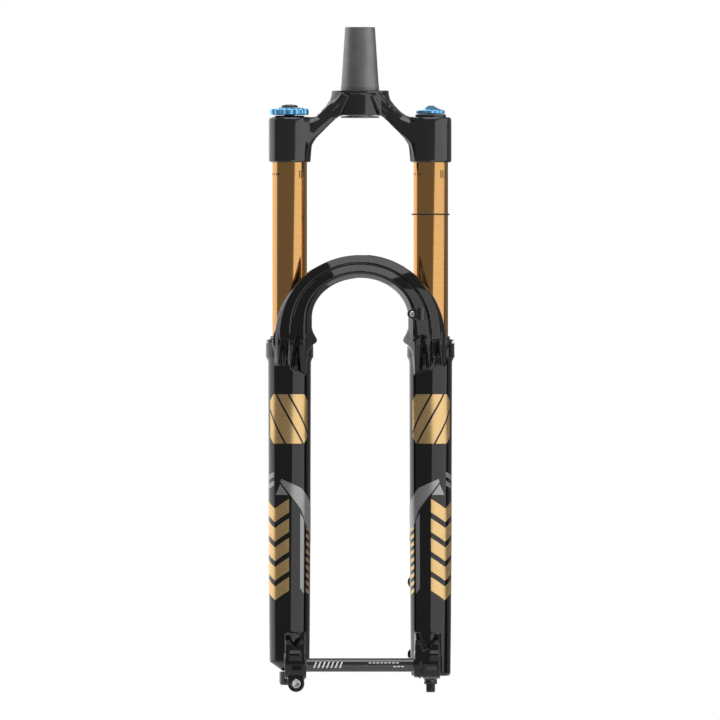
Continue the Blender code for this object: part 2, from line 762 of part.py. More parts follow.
def build_hose_guide(mat):
    """The clip that holds the brake hose against the arch, with its bolt."""
    x, face, z = guide_bolt_place()
    gap, plate, half = 0.4 * MM, 2.6 * MM, 6.6 * MM
    loop_x, loop_r = 62.0 * MM, 4.9 * MM
    loop_y = face - gap - loop_r
    black = mat["black_metal"]
    bridge_low = (x - 1.0 * MM, face - gap - plate, z - half + 1.0 * MM)
    bridge_high = (loop_x, face - gap, z + half - 1.0 * MM)
    guide = box("hose_guide", bridge_low, bridge_high, black)
    ear = rod_profile(5.0 * MM, gap, gap + plate)
    loop = rod_profile(loop_r, -half, half)
    added = [
        turned("guide_ear", ear, black, 24, (x, face, z), TO_FRONT),
        turned("guide_loop", loop, black, 24, (loop_x, loop_y, z)),
    ]
    combine(guide, "UNION", added)
    hose = rod_profile(3.35 * MM, -2 * half, 2 * half)
    hole = rod_profile(2.3 * MM, -5.0 * MM, 20.0 * MM)
    cut = [
        turned("hose_way", hose, black, SMALL, (loop_x, loop_y, z)),
        turned("guide_bolt_way", hole, black, SMALL, (x, face, z), TO_FRONT),
    ]
    combine(guide, "DIFFERENCE", cut)
    bolt = [
        (0, 4.3 * MM),
        (1.2 * MM, 4.3 * MM, hexagon),
        (1.2 * MM, 5.6 * MM, hexagon),
        (2.6 * MM, 5.6 * MM),
        (2.9 * MM, 5.2 * MM),
        (2.9 * MM, 3.3 * MM),
        (1.9 * MM, 3.3 * MM),
        (1.9 * MM, -8.0 * MM),
        (0, -8.0 * MM),
    ]
    turned("hose_guide_bolt", bolt, mat["steel"], 24, (x, face, z), TO_FRONT)


def build_bleeders(mat):
    """The press-button air bleeders at the back of each leg's collar."""
    body = [
        (2.2 * MM, 24.0 * MM),
        (3.8 * MM, 24.0 * MM),
        (3.8 * MM, 31.3 * MM),
        (5.4 * MM, 31.3 * MM, hexagon),
        (5.4 * MM, 33.0 * MM, hexagon),
        (2.2 * MM, 33.0 * MM),
    ]
    button = [
        (0, 26.0 * MM),
        (1.7 * MM, 26.0 * MM),
        (1.7 * MM, 34.2 * MM),
        (1.3 * MM, 34.6 * MM),
        (0, 34.6 * MM),
    ]
    for side, word in ((-1, "damper_side"), (1, "air_side")):
        place = (side * LEG_X, LEG_Y, BLEEDER_Z)
        turned(f"bleeder_body_{word}", body, mat["black_metal"], 24, place, TO_BACK)
        turned(f"bleeder_button_{word}", button, mat["steel"], SMALL, place, TO_BACK)


def make_materials():
    return {
        "black": make_material("gloss_black_paint", (0.012, 0.012, 0.013), 0.12),
        "black_metal": make_material("black_anodised", (0.02, 0.02, 0.022), 0.35, 0.8),
        "black_plastic": make_material("black_plastic", (0.03, 0.03, 0.03), 0.5),
        "gold": make_material("gold_anodised", (0.72, 0.42, 0.14), 0.22, 1.0),
        "grey": make_material("grey_alloy", (0.22, 0.22, 0.22), 0.5, 0.8),
        "blue": make_material("blue_anodised", (0.04, 0.25, 0.75), 0.25, 0.9),
        "steel": make_material("steel", (0.55, 0.55, 0.55), 0.3, 1.0),
        "brass": make_material("brass", (0.7, 0.5, 0.2), 0.3, 1.0),
        "bronze": make_material("bushing_bronze", (0.4, 0.25, 0.12), 0.5, 0.6),
        "rubber": make_material("rubber", (0.02, 0.02, 0.02), 0.7),
        "foam": make_material("foam", (0.1, 0.1, 0.1), 0.95),
        "orange": make_material("orange_plastic", (0.8, 0.25, 0.03), 0.5),
    }


def main():
    clear_scene()
    mat = make_materials()
    build_steerer(mat)
    build_crown(mat)
    build_stanchions(mat)
    build_sag_ring(mat)
    build_air_cap(mat)
    build_air_spring(mat)
    build_damper_cap(mat)
    build_spring(mat)
    build_damper(mat)
    build_seals(mat)
    build_casting(mat)
    build_axle(mat)
    build_hose_guide(mat)
    build_bleeders(mat)


main()
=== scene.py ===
"""The looks of a bicycle suspension fork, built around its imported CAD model.

Shapes are worked out in millimetres in the model's own frame and stored in metres.
"""

import json
import math

import bmesh
import bpy
import numpy as np
import openvdb
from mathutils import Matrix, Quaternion, Vector


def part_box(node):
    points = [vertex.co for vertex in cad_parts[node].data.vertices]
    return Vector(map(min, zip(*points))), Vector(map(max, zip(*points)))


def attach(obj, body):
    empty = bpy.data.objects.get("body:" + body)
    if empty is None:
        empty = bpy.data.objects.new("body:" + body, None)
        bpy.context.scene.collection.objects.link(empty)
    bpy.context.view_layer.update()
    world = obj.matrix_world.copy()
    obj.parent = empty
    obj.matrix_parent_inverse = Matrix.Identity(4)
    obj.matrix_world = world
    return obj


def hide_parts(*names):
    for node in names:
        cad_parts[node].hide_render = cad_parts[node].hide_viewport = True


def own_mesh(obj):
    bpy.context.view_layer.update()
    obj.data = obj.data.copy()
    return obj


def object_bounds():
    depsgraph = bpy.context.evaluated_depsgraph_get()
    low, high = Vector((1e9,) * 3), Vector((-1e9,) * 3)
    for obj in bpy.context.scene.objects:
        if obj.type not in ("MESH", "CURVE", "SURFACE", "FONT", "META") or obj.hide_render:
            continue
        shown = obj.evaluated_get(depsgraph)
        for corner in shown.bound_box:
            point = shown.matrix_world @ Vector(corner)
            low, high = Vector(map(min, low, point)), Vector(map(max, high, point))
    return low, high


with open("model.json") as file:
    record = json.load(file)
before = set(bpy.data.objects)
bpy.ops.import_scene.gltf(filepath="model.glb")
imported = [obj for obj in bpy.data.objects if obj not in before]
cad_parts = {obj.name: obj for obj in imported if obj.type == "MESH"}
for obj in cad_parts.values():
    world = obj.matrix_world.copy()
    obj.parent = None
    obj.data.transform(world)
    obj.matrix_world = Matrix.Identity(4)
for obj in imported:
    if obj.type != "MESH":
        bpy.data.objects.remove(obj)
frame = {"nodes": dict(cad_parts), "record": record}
cad_low, cad_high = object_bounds()
MM = 0.001

# Places: some read from the CAD nodes, the rest given as numbers


def middle_of(node):
    low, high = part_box(node)
    return (low + high) / 2 / MM


def span_of(node, axis=2):
    low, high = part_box(node)
    return low[axis] / MM, high[axis] / MM


LEG_X = middle_of("stanchion_air_side")[0]
LEG_Y = middle_of("stanchion_air_side")[1]
AXLE_Y = middle_of("thru_axle")[1]
AXLE_Z = middle_of("thru_axle")[2]
PINCH_X = middle_of("pinch_bolt")[0]
PINCH_Z = middle_of("pinch_bolt")[2]
COLLAR_TOP = -257.0
LEG_FLOOR = -575.0
STANCHION_RADIUS = 18.0
AXLE_RADIUS = 7.15
ARCH_BACK = LEG_Y - 23.6
GUIDE_X, GUIDE_Y, GUIDE_Z = 53.3, LEG_Y - 43.0, -229.3
POST_X, POST_HEIGHTS = 56.0, (-503.9, -578.1)
BLEEDER_Z = -266.0
SIDES = {-1: "damper_side", 1: "air_side"}


# Node materials


class Nodes:
    """A small wrapper that keeps node trees short to write."""

    def __init__(self, name):
        self.material = bpy.data.materials.new(name)
        self.material.use_nodes = True
        self.tree = self.material.node_tree
        self.shader = self.tree.nodes["Principled BSDF"]
        coordinates = self.tree.nodes.new("ShaderNodeTexCoord")
        self.place = coordinates.outputs["Object"]

    def add(self, kind, inputs=None, **settings):
        node = self.tree.nodes.new(kind)
        for key, value in settings.items():
            setattr(node, key, value)
        for key, value in (inputs or {}).items():
            if isinstance(value, bpy.types.NodeSocket):
                self.tree.links.new(value, node.inputs[key])
            else:
                node.inputs[key].default_value = value
        return node

    def stretched(self, scale):
        """Object coordinates scaled by a different amount along each axis."""
        node = self.add("ShaderNodeMapping", {"Vector": self.place, "Scale": scale})
        return node.outputs["Vector"]

    def noise(self, scale, detail=3.0, vector=None):
        inputs = {"Vector": vector or self.place, "Scale": scale, "Detail": detail}
        return self.add("ShaderNodeTexNoise", inputs).outputs["Fac"]

    def spread(self, factor, low, high, start=0.3, stop=0.7):
        """Maps a factor to a range of plain numbers."""
        inputs = {
            "Value": factor,
            "From Min": start,
            "From Max": stop,
            "To Min": low,
            "To Max": high,
        }
        return self.add("ShaderNodeMapRange", inputs).outputs["Result"]

    def blend(self, factor, first, second):
        node = self.add("ShaderNodeMix", data_type="RGBA")
        for socket, value in ((node.inputs[0], factor), (node.inputs[6], first), (node.inputs[7], second)):
            if isinstance(value, bpy.types.NodeSocket):
                self.tree.links.new(value, socket)
            elif isinstance(value, tuple):
                socket.default_value = (*value, 1.0)
            else:
                socket.default_value = value
        return node.outputs[2]

    def bump(self, height, strength, distance):
        inputs = {"Height": height, "Strength": strength, "Distance": distance}
        self.drive("Normal", self.add("ShaderNodeBump", inputs).outputs["Normal"])

    def drive(self, socket, value):
        self.tree.links.new(value, self.shader.inputs[socket])

    def fix(self, **values):
        for socket, value in values.items():
            self.shader.inputs[socket.replace("_", " ")].default_value = value


def shade(colour, factor):
    return tuple(c * factor for c in colour)


def finished(
    name,
    colour,
    roughness,
    metallic=0.0,
    grain=900.0,
    stretch=(1, 1, 1),
    variation=0.12,
    rough_spread=0.25,
    bump=0.05,
    depth=0.00004,
    **fixed,
):
    """A solid finish with fine grain in its colour, gloss and surface."""
    made = Nodes(name)
    vector = made.stretched(stretch)
    fine = made.noise(grain, 4.0, vector)
    broad = made.noise(grain / 24, 2.0, vector)
    light = shade(colour, 1 + variation)
    dark = shade(colour, 1 - variation)
    made.drive("Base Color", made.blend(made.spread(broad, 0, 1), dark, light))
    low = roughness * (1 - rough_spread)
    high = roughness * (1 + rough_spread)
    made.drive("Roughness", made.spread(fine, low, high))
    made.bump(fine, bump, depth)
    made.fix(Metallic=metallic, **fixed)
    return made.material


def make_materials():
    ringed = (1, 1, 30)
    return {
        "paint": finished("gloss_black_paint", (0.0040, 0.0040, 0.0043), 0.055, grain=420, bump=0.02),
        "crown": finished(
            "black_anodised_crown",
            (0.011, 0.011, 0.0112),
            0.12,
            grain=700,
            bump=0.03,
            Specular_IOR_Level=0.72,
        ),
        "black_metal": finished("black_anodised", (0.010, 0.010, 0.011), 0.22, Specular_IOR_Level=0.7),
        "axle": finished("axle_black_anodised", (0.008, 0.008, 0.0085), 0.17, grain=700, bump=0.03, IOR=1.9),
        "gold": finished(
            "amber_gold_anodised", (0.555, 0.305, 0.110), 0.12, 1.0, grain=500, stretch=ringed, variation=0.03
        ),
        "grey": finished(
            "grey_blasted_alloy",
            (0.20, 0.20, 0.20),
            0.45,
            0.75,
            grain=1400,
            bump=0.35,
            depth=0.0001,
        ),
        "blue": finished("blue_anodised", (0.17, 0.49, 0.84), 0.16, 0.75, stretch=ringed, variation=0.06),
        "steel": finished("plated_steel", (0.62, 0.61, 0.60), 0.22, 1.0, stretch=ringed),
        "brass": finished("turned_brass", (0.72, 0.50, 0.20), 0.25, 1.0, stretch=ringed),
        "bronze": finished("bushing_bronze", (0.38, 0.24, 0.12), 0.5, 0.7),
        "rubber": finished("seal_rubber", (0.012, 0.012, 0.012), 0.55, grain=1200, bump=0.2),
        "foam": finished("oiled_foam", (0.07, 0.07, 0.06), 0.9, grain=600, bump=0.6, depth=0.0003),
        "plastic": finished("black_moulding", (0.02, 0.02, 0.02), 0.45, grain=1200, bump=0.2),
        "orange": finished("orange_moulding", (0.75, 0.22, 0.03), 0.4, grain=800),
        "decal_gold": finished(
            "bronze_gold_film", (0.66, 0.445, 0.20), 0.28, 0.88, grain=1500, variation=0.03
        ),
        "decal_grey": finished("silver_grey_film", (0.30, 0.30, 0.30), 0.30, 0.6, grain=1500, variation=0.05),
        "ink": finished("dark_print", (0.03, 0.022, 0.015), 0.4, grain=1500),
        "mark": finished("pale_print", (0.86, 0.86, 0.84), 0.5, grain=1500, variation=0.05),
    }


CAD_FINISH = {
    "gloss_black_paint": "paint",
    "black_anodised": "black_metal",
    "black_plastic": "plastic",
    "gold_anodised": "gold",
    "grey_alloy": "grey",
    "blue_anodised": "blue",
    "steel": "steel",
    "brass": "brass",
    "bushing_bronze": "bronze",
    "rubber": "rubber",
    "foam": "foam",
    "orange_plastic": "orange",
}
SLOT_OF = {finish: slot for slot, finish in CAD_FINISH.items()}
SLOT_OF.update(crown="gloss_black_paint", axle="black_anodised", ink="rubber")
SLOT_OF.update(decal_gold="gold_anodised", decal_grey="grey_alloy", mark="grey_alloy")


# Meshes


def add_piece(name, points, faces, finish, body, nodes=(), normals=None, sharp=30):
    """A mesh from points in millimetres that rides on a body and may stand for CAD nodes."""
    mesh = bpy.data.meshes.new(name)
    mesh.from_pydata((np.asarray(points) * MM).tolist(), [], faces)
    mesh.update()
    mesh.shade_smooth()
    if normals is not None:
        mesh.normals_split_custom_set_from_vertices(normals.tolist())
    elif sharp:
        mesh.set_sharp_from_angle(angle=math.radians(sharp))
    mesh.materials.append(materials[finish])
    piece = bpy.data.objects.new(name, mesh)
    bpy.context.scene.collection.objects.link(piece)
    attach(piece, body)
    if nodes:
        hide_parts(*nodes)
    return piece


def rounded(profile, radius, steps=4):
    """Rounds the corners of a closed profile of (radius, height), except those on the axis."""
    made = []
    count = len(profile)
    for i, (r, z) in enumerate(profile):
        here = np.array((r, z), float)
        back = np.array(profile[i - 1], float) - here
        ahead = np.array(profile[(i + 1) % count], float) - here
        room = min(np.linalg.norm(back), np.linalg.norm(ahead)) * 0.42
        if r == 0 or room < 1e-6:
            made.append((r, z))
            continue
        size = min(radius, room)
        start = here + back / np.linalg.norm(back) * size
        stop = here + ahead / np.linalg.norm(ahead) * size
        for k in range(steps + 1):
            t = k / steps
            point = start * (1 - t) ** 2 + here * 2 * t * (1 - t) + stop * t**2
            made.append((max(point[0], 0.0), point[1]))
    return made


def spun(profile, count, outline=None):
    """Points and faces of a closed profile turned about Z; outline scales radius by angle and height."""
    angles = np.arange(count) * 2 * math.pi / count
    points, rings, faces = [], [], []
    for r, z in profile:
        if r == 0:
            rings.append([len(points)] * count)
            points.append((0.0, 0.0, z))
            continue
        rings.append([len(points) + i for i in range(count)])
        for angle in angles:
            scale = outline(angle, r, z) if outline else 1.0
            points.append((r * scale * math.cos(angle), r * scale * math.sin(angle), z))
    pairs = list(zip(rings, rings[1:] + rings[:1]))
    for a, b in pairs:
        if len(set(a)) == 1 and len(set(b)) == 1:
            continue
        for i in range(count):
            j = (i + 1) % count
            face = list(dict.fromkeys((a[i], a[j], b[j], b[i])))
            if len(face) > 2:
                faces.append(face)
    return np.array(points), faces


def turned_piece(
    name,
    profile,
    finish,
    body,
    nodes=(),
    place=(0, 0, 0),
    aim="Z",
    soften=0.4,
    count=96,
    outline=None,
    sharp=30,
):
    """A turned piece; aim is where its local +Z points: Z, X, FRONT (-Y) or BACK (+Y)."""
    points, faces = spun(rounded(profile, soften) if soften else profile, count, outline)
    x, y, z = points.T
    facing = {"Z": (x, y, z), "X": (z, y, -x), "FRONT": (x, -z, y), "BACK": (x, z, -y)}[aim]
    moved = np.stack(facing, axis=1) + np.array(place)
    area = sum(profile[i - 1][0] * p[1] - p[0] * profile[i - 1][1] for i, p in enumerate(profile))
    if area < 0:
        faces = [list(reversed(face)) for face in faces]
    return add_piece(name, moved, faces, finish, body, nodes, sharp=sharp)


def tube(inner, outer, low, high):
    return [(inner, low), (outer, low), (outer, high), (inner, high)]


def hexed(size):
    """An outline that turns every radius up to a size into a hexagon."""

    def outline(angle, r, z):
        if r > size:
            return 1.0
        sector = math.radians(60)
        return math.cos(sector / 2) / math.cos((angle % sector) - sector / 2)

    return outline


# Distance fields, in millimetres


def soft_min(a, b, k):
    h = np.clip(0.5 + 0.5 * (b - a) / k, 0, 1)
    return b + (a - b) * h - k * h * (1 - h)


def soft_max(a, b, k):
    return -soft_min(-a, -b, k)


def cut(a, b, k=0.6):
    """Field a with field b taken out of it."""
    return soft_max(a, -b, k)


def outline_field(u, v, points):
    """Distance to a closed outline, negative inside."""
    best = np.full(u.shape, 1e12)
    inside = np.zeros(u.shape, bool)
    for (ax, ay), (bx, by) in zip(points, points[1:] + points[:1]):
        ex, ey = bx - ax, by - ay
        wx, wy = u - ax, v - ay
        t = np.clip((wx * ex + wy * ey) / (ex * ex + ey * ey), 0, 1)
        best = np.minimum(best, (wx - ex * t) ** 2 + (wy - ey * t) ** 2)
        if ey:
            inside ^= ((ay <= v) != (by <= v)) & (u < ax + (v - ay) * ex / ey)
    return np.where(inside, -1.0, 1.0) * np.sqrt(best)


def slab(u, low, high):
    return np.abs(u - (low + high) / 2) - (high - low) / 2


def disc(u, v, cu, cv, radius):
    return np.hypot(u - cu, v - cv) - radius


def capped(radial, along, k):
    """A long form, such as a cylinder, cut to its length."""
    return soft_max(radial, along, k)


def oval(u, v, half_u, half_v):
    """First-order distance to an ellipse about the origin."""
    level = np.maximum(np.hypot(u / half_u, v / half_v), 1e-6)
    slope = np.hypot(u / half_u**2, v / half_v**2) / level
    return (level - 1) / np.maximum(slope, 1e-6)


def field_mesh(field, xs, ys, zs):
    """Meshes a field's zero surface on a grid whose spacing may vary, and fits it to the field."""
    axes = [np.asarray(a, float) for a in (xs, ys, zs)]
    block = 8
    axes = [np.append(a, a[-1] + np.arange(1, 1 - len(a) % block + block) * 1.0) for a in axes]
    counts = [len(a) // block for a in axes]
    cells = [a.reshape(-1, block) for a in axes]
    middles = [c.mean(axis=1) for c in cells]
    halves = [(c[:, -1] - c[:, 0]) / 2 + 1.0 for c in cells]
    centre = np.meshgrid(*middles, indexing="ij")
    reach = np.sqrt(sum(h**2 for h in np.meshgrid(*halves, indexing="ij")))
    coarse = field(*[c.ravel() for c in centre]).reshape(counts)
    grid = np.sign(coarse) * 5
    for n in range(3):
        grid = np.repeat(grid, block, n)
    grid = grid.astype(np.float32)
    near = np.argwhere(np.abs(coarse) < 1.7 * reach + 2)
    for start in range(0, len(near), 2000):
        part = near[start : start + 2000]
        x = cells[0][part[:, 0]][:, :, None, None]
        y = cells[1][part[:, 1]][:, None, :, None]
        z = cells[2][part[:, 2]][:, None, None, :]
        shape = (len(part), block, block, block)
        values = field(*[np.broadcast_to(a, shape).ravel() for a in (x, y, z)]).reshape(shape)
        for (i, j, k), value in zip(part * block, values):
            grid[i : i + block, j : j + block, k : k + block] = value
    volume = openvdb.FloatGrid(5.0)
    volume.copyFromArray(grid)
    points, faces = volume.convertToQuads(0.0)
    points = points.astype(float)
    for n in range(3):
        points[:, n] = np.interp(points[:, n], np.arange(len(axes[n])), axes[n])
    for _ in range(3):
        value, slope = sloped(field, points)
        size = np.maximum((slope**2).sum(axis=1), 0.05)
        points += np.clip(-value / size, -0.5, 0.5)[:, None] * slope
    normals = sloped(field, points)[1]
    normals /= np.maximum(np.linalg.norm(normals, axis=1), 1e-9)[:, None]
    faces = faces.astype(int)
    if facing_in(points, faces, normals):
        faces = faces[:, ::-1]
    return points, faces.tolist(), normals


def sloped(field, points, reach=0.25):
    """The field's value and slope at some points."""
    value = field(*points.T)
    slope = np.zeros_like(points)
    for n in range(3):
        ahead, behind = points.copy(), points.copy()
        ahead[:, n] += reach
        behind[:, n] -= reach
        slope[:, n] = (field(*ahead.T) - field(*behind.T)) / (2 * reach)
    return value, slope


def facing_in(points, faces, normals):
    a, b, c = (points[faces[:, i]] for i in range(3))
    flat = np.cross(b - a, c - a)
    return (flat * normals[faces[:, 0]]).sum() < 0


# Crown


UNDER_CURVE = [(24.5, -28.6), (28.7, -32.5), (36.9, -40.7), (45.1, -48.9), (49.6, -56), (51.0, -64)]
OVER_CURVE = [(19.3, -2.0), (22.4, -6.6), (26.5, -10.8), (33.0, -15.0), (38.0, -20.2)]
OVER_CURVE += [(44.0, -26.0), (50.5, -29.5)]
CROWN_OUTLINE = [
    (0, 0),
    (28.2, 0),
    (29.2, -4.0),
    (31.6, -9.5),
    (36.4, -15.6),
    (42.0, -21.4),
    (47.2, -25.2),
    (53.0, -27.3),
    (72.3, -27.6),
    (72.3, -72),
    (52.2, -72),
    *reversed(UNDER_CURVE),
    (20.5, -26.2),
    (0, -25.8),
]
WEB_OUTLINE = [
    (12.0, -6.5),
    *OVER_CURVE,
    (72.3, -30.5),
    (72.3, -72),
    (52.2, -72),
    *reversed(UNDER_CURVE),
    (21.0, -26.0),
]
OVER_EDGE = [(0, 3.0), (16.0, 0.5), *OVER_CURVE, (72.3, -30.5), (120, -30.5), (120, -120), (0, -120)]
UNDER_EDGE = [(0, -25.8), (20.5, -26.2), *UNDER_CURVE, (52.2, -76), (120, -76), (120, 40), (0, 40)]
CROWN_PLAN = [
    (0, -19),
    (28, -18),
    (45, -21.0),
    (72.3, -23.0),
    (72.3, 6.5),
    (52, 9.5),
    (36, 16.0),
    (24, 23.5),
    (12, 27.8),
    (0, 28.6),
]


def crown_boss(x, y, z):
    """The boss around the steerer, whose front comes to a blunt prow."""
    prow_at = [0, 2, 4, 7, 10, 14, 18, 22, 26, 30]
    prow_y = [-28.4, -28.3, -27.9, -26.9, -25.7, -23.9, -22, -19.8, -17.4, -14.4]
    prow = np.interp(np.abs(x), prow_at, prow_y)
    boss = soft_max((np.hypot(x, 1.04 * y) - 29.2) * 0.95, (prow - y) * 0.92, 1.0)
    return soft_max(boss, slab(z, -25.8, -0.1), 1.4)


def crown_spine(x, y, z):
    """The body of the arms, which narrows upwards into the boss."""
    a = np.abs(x) + 1e-3
    side_z = [-27.5, -27.2, -25.2, -21.4, -15.6, -9.5, -4, 0]
    side = np.interp(z, side_z, [200, 53, 47.2, 42, 36.4, 31.6, 29.2, 28.2])
    spine = soft_max(outline_field(a, z, CROWN_OUTLINE), outline_field(a, y, CROWN_PLAN), 3.0)
    return soft_max(spine, (np.hypot(x, 1.3 * y) - side) * 0.8, 1.5)


def crown_web(a, y, z):
    """The front of the arms, bevelled along both edges, with a crease beside the boss."""
    nearer = a + np.interp(z, [-50, -45, -40, -31], [4.0, 3.0, 0.0, -2.0])
    face_at = [10, 15, 20, 26, 32, 40, 51, 57, 62]
    face_y = [-28.0, -26.4, -24.4, -23.4, -24.0, -24.6, -25.0, -27.4, -29.4]
    front = np.interp(nearer, face_at, face_y) - y
    under = outline_field(a + 1e-3, z, UNDER_EDGE)
    over = outline_field(a, z, OVER_EDGE)
    web = soft_max(outline_field(a, z, WEB_OUTLINE), front, 1.0)
    bevel = under * 0.42 + front * 0.9 + np.interp(a, [20, 36, 46, 54], [0.7, 1.8, 2.2, 3.4])
    web = soft_max(web, bevel, 0.8)
    flank = under * 0.9 + front * 0.42 + np.interp(z, [-74, -56, -45, -36], [6.0, 3.8, 1.6, 0.7])
    web = soft_max(web, flank, 0.6)
    web = soft_max(web, (over + front + np.interp(a, [22, 30, 41, 52], [1.2, 3.6, 4.6, 3.6])) * 0.707, 1.0)
    web = soft_max(web, y - 2.0, 1.0)
    crease = outline_field(a, z, [(15.0, -8.6), (15.6, -8.2), (27.2, -20.9), (26.6, -21.3)])
    return web + 0.5 * np.clip(1 - np.maximum(crease, 0) / 0.7, 0, 1) * (y < -20)


def crown_clamp(radial, z):
    """The clamp around a stanchion, with a chamfer at each end."""
    clamp = soft_max(radial, slab(z, -74.1, -27.5), 1.0)
    clamp = soft_max(clamp, radial * 0.8 + (z + 27.5) * 0.6 + 1.2, 1.4)
    return soft_max(clamp, (radial - z - 74.1 + 1.2) * 0.707, 1.0)


def crown_field(x, y, z):
    """The forged crown: two arms that sweep from the steerer's boss down to the clamps."""
    a = np.abs(x)
    axis = np.hypot(x, y)
    radial = disc(a, y, LEG_X, LEG_Y, 21.5)
    plate = capped(axis - 28.5, slab(z, -3.3, -0.1), 0.7)
    body = soft_min(soft_min(crown_boss(x, y, z), crown_spine(x, y, z), 2.5), plate, 1.5)
    body = soft_min(body, crown_web(a, y, z), 1.2)
    body = soft_min(body, crown_clamp(radial, z), 3.0)
    body = soft_max(body, slab(z, -74.1, 0.0), 0.8)
    body = soft_max(body, radial - 0.1 - 1e3 * (a < LEG_X), 0.5)
    body = cut(body, axis - 19.95, 0.6)
    body = cut(body, disc(a, y, LEG_X, LEG_Y, 18.25), 0.6)
    slot = soft_max(slab(x, -5, 5), slab(z, -60, -28), 2.0)
    return cut(body, soft_max(slot, 24.5 - y, 1.0), 1.5)


# Lower casting


def leg_radius(z):
    return np.interp(z, [-600, -560, -450, -277.8], [20.4, 20.9, 21.6, 22.1])


ARCH_MIDDLE_IN, ARCH_MIDDLE_OUT = -233.4, -255.9


def arch_field(a, y, z):
    """The arch between the legs: a band between two ellipses, its front in facets with two creases."""
    inner = oval(a, np.maximum(z - ARCH_MIDDLE_IN, 0.0), 49.2, 40.6)
    outer = oval(a, np.maximum(z - ARCH_MIDDLE_OUT, 0.0), 87.4, 87.6)
    share = np.clip(inner / np.maximum(inner - outer, 1e-6), 0, 1)
    down = np.clip((-178.0 - z) / 70.0, 0, 1)
    inner_crease = 0.25 - 0.07 * down
    middle_crease = 0.62 - 0.05 * down
    shoulder = 0.97 - 0.11 * down
    lean = np.degrees(np.arctan2(a, z + 245.0))
    roof = np.clip((95.0 - lean) / 65.0, 0, 1)
    height = 15.8 - 14.8 * np.clip(1 - share / inner_crease, 0, 1)
    height += (2.4 + 3.8 * roof) * np.clip(1 - (share - inner_crease) / (middle_crease - inner_crease), 0, 1)
    height -= (2.2 + 4.2 * roof) * np.clip((share - middle_crease) / (shoulder - middle_crease), 0, 1)
    height -= (7.5 - 4.0 * roof) * np.clip((share - shoulder) / (1 - shoulder), 0, 1)
    groove = np.clip(1 - np.abs(share - inner_crease) / 0.05, 0, 1)
    groove = np.maximum(groove, np.clip(1 - np.abs(share - middle_crease) / 0.055, 0, 1))
    height -= 1.5 * groove
    front = (ARCH_BACK - height - y) * 0.8
    band = soft_max(outer, -inner, 1.0)
    band = soft_max(band, front, 1.2)
    band = soft_max(band, y - ARCH_BACK, 1.5)
    return soft_max(band, -258.0 - z + 0.1 * (a - 50), 0.5)


FOOT_OUTLINE = [
    (50.2, -236),
    (48.8, -244),
    (46.6, -250),
    (44.3, -254.5),
    (43.8, -256.6),
    (44.8, -258.6),
    (47.7, -260.6),
    (51.4, -264.0),
    (53.6, -268.0),
    (54.8, -276.0),
    (55.8, -290.5),
    (59.0, -289.0),
    (64.0, -286.5),
    (71.0, -285.0),
    (78.0, -283.0),
    (86.2, -281.0),
    (87.0, -266),
    (89.6, -259),
    (88.6, -250),
    (86.4, -243),
    (82.0, -232),
]
POCKETS = [
    [(62.6, -250.5), (64.4, -250.5), (67.6, -262), (71.2, -288), (60.6, -288)],
    [(73.2, -256.8), (80.6, -255.6), (83.0, -285), (74.6, -285)],
]
POCKET_SPINES = [
    [(64.8, -264), (65.2, -264), (68.6, -289), (63.0, -289)],
    [(78.6, -262), (79.2, -262), (80.0, -286), (77.8, -286)],
]


def foot_field(a, y, z):
    """Where the arch flares and runs down the front of each leg in three ribs."""
    shape = outline_field(a, z, FOOT_OUTLINE)
    face_z = [-291, -284, -268, -261, -255, -249, -240]
    face = np.interp(z, face_z, [34.8, 39.5, 50.0, 54.0, 55.7, 54.6, 49.0])
    lean_at = [43, 48, 56, 57.5, 71.5, 73.5, 84, 87]
    lean = np.interp(a, lean_at, [25, 15, 1.0, 0.0, 2.3, 4.5, 6.5, 11.0])
    front = (-(face - lean) - y) * 0.9
    back = np.interp(z, [-290, -262, -254, -249], [-20.0, -20.0, -30.0, ARCH_BACK])
    body = soft_max(shape, front, 1.2)
    return soft_max(body, y - back, 1.0)


def carve_pockets(body, a, y, z):
    """Sinks the two pockets of each foot, each with a low spine down its middle."""
    floor = np.interp(z, [-277, -273], [-33.0, -38.6])
    for pocket, spine in zip(POCKETS, POCKET_SPINES):
        hollow = soft_max(outline_field(a, z, pocket), y - floor, 0.6)
        ridge = soft_max(outline_field(a, z, spine), floor - 6.0 - y, 0.6)
        body = cut(body, cut(hollow, ridge, 0.4), 0.6)
    return body


GUSSET = [
    (LEG_Y - 19, -556),
    (AXLE_Y - 6, -563),
    (AXLE_Y - 12, -567),
    (AXLE_Y - 14.3, AXLE_Z),
    (AXLE_Y - 8, AXLE_Z - 12),
    (AXLE_Y + 6, AXLE_Z - 11),
    (LEG_Y - 12, AXLE_Z - 3.6),
    (LEG_Y - 10, -556),
]


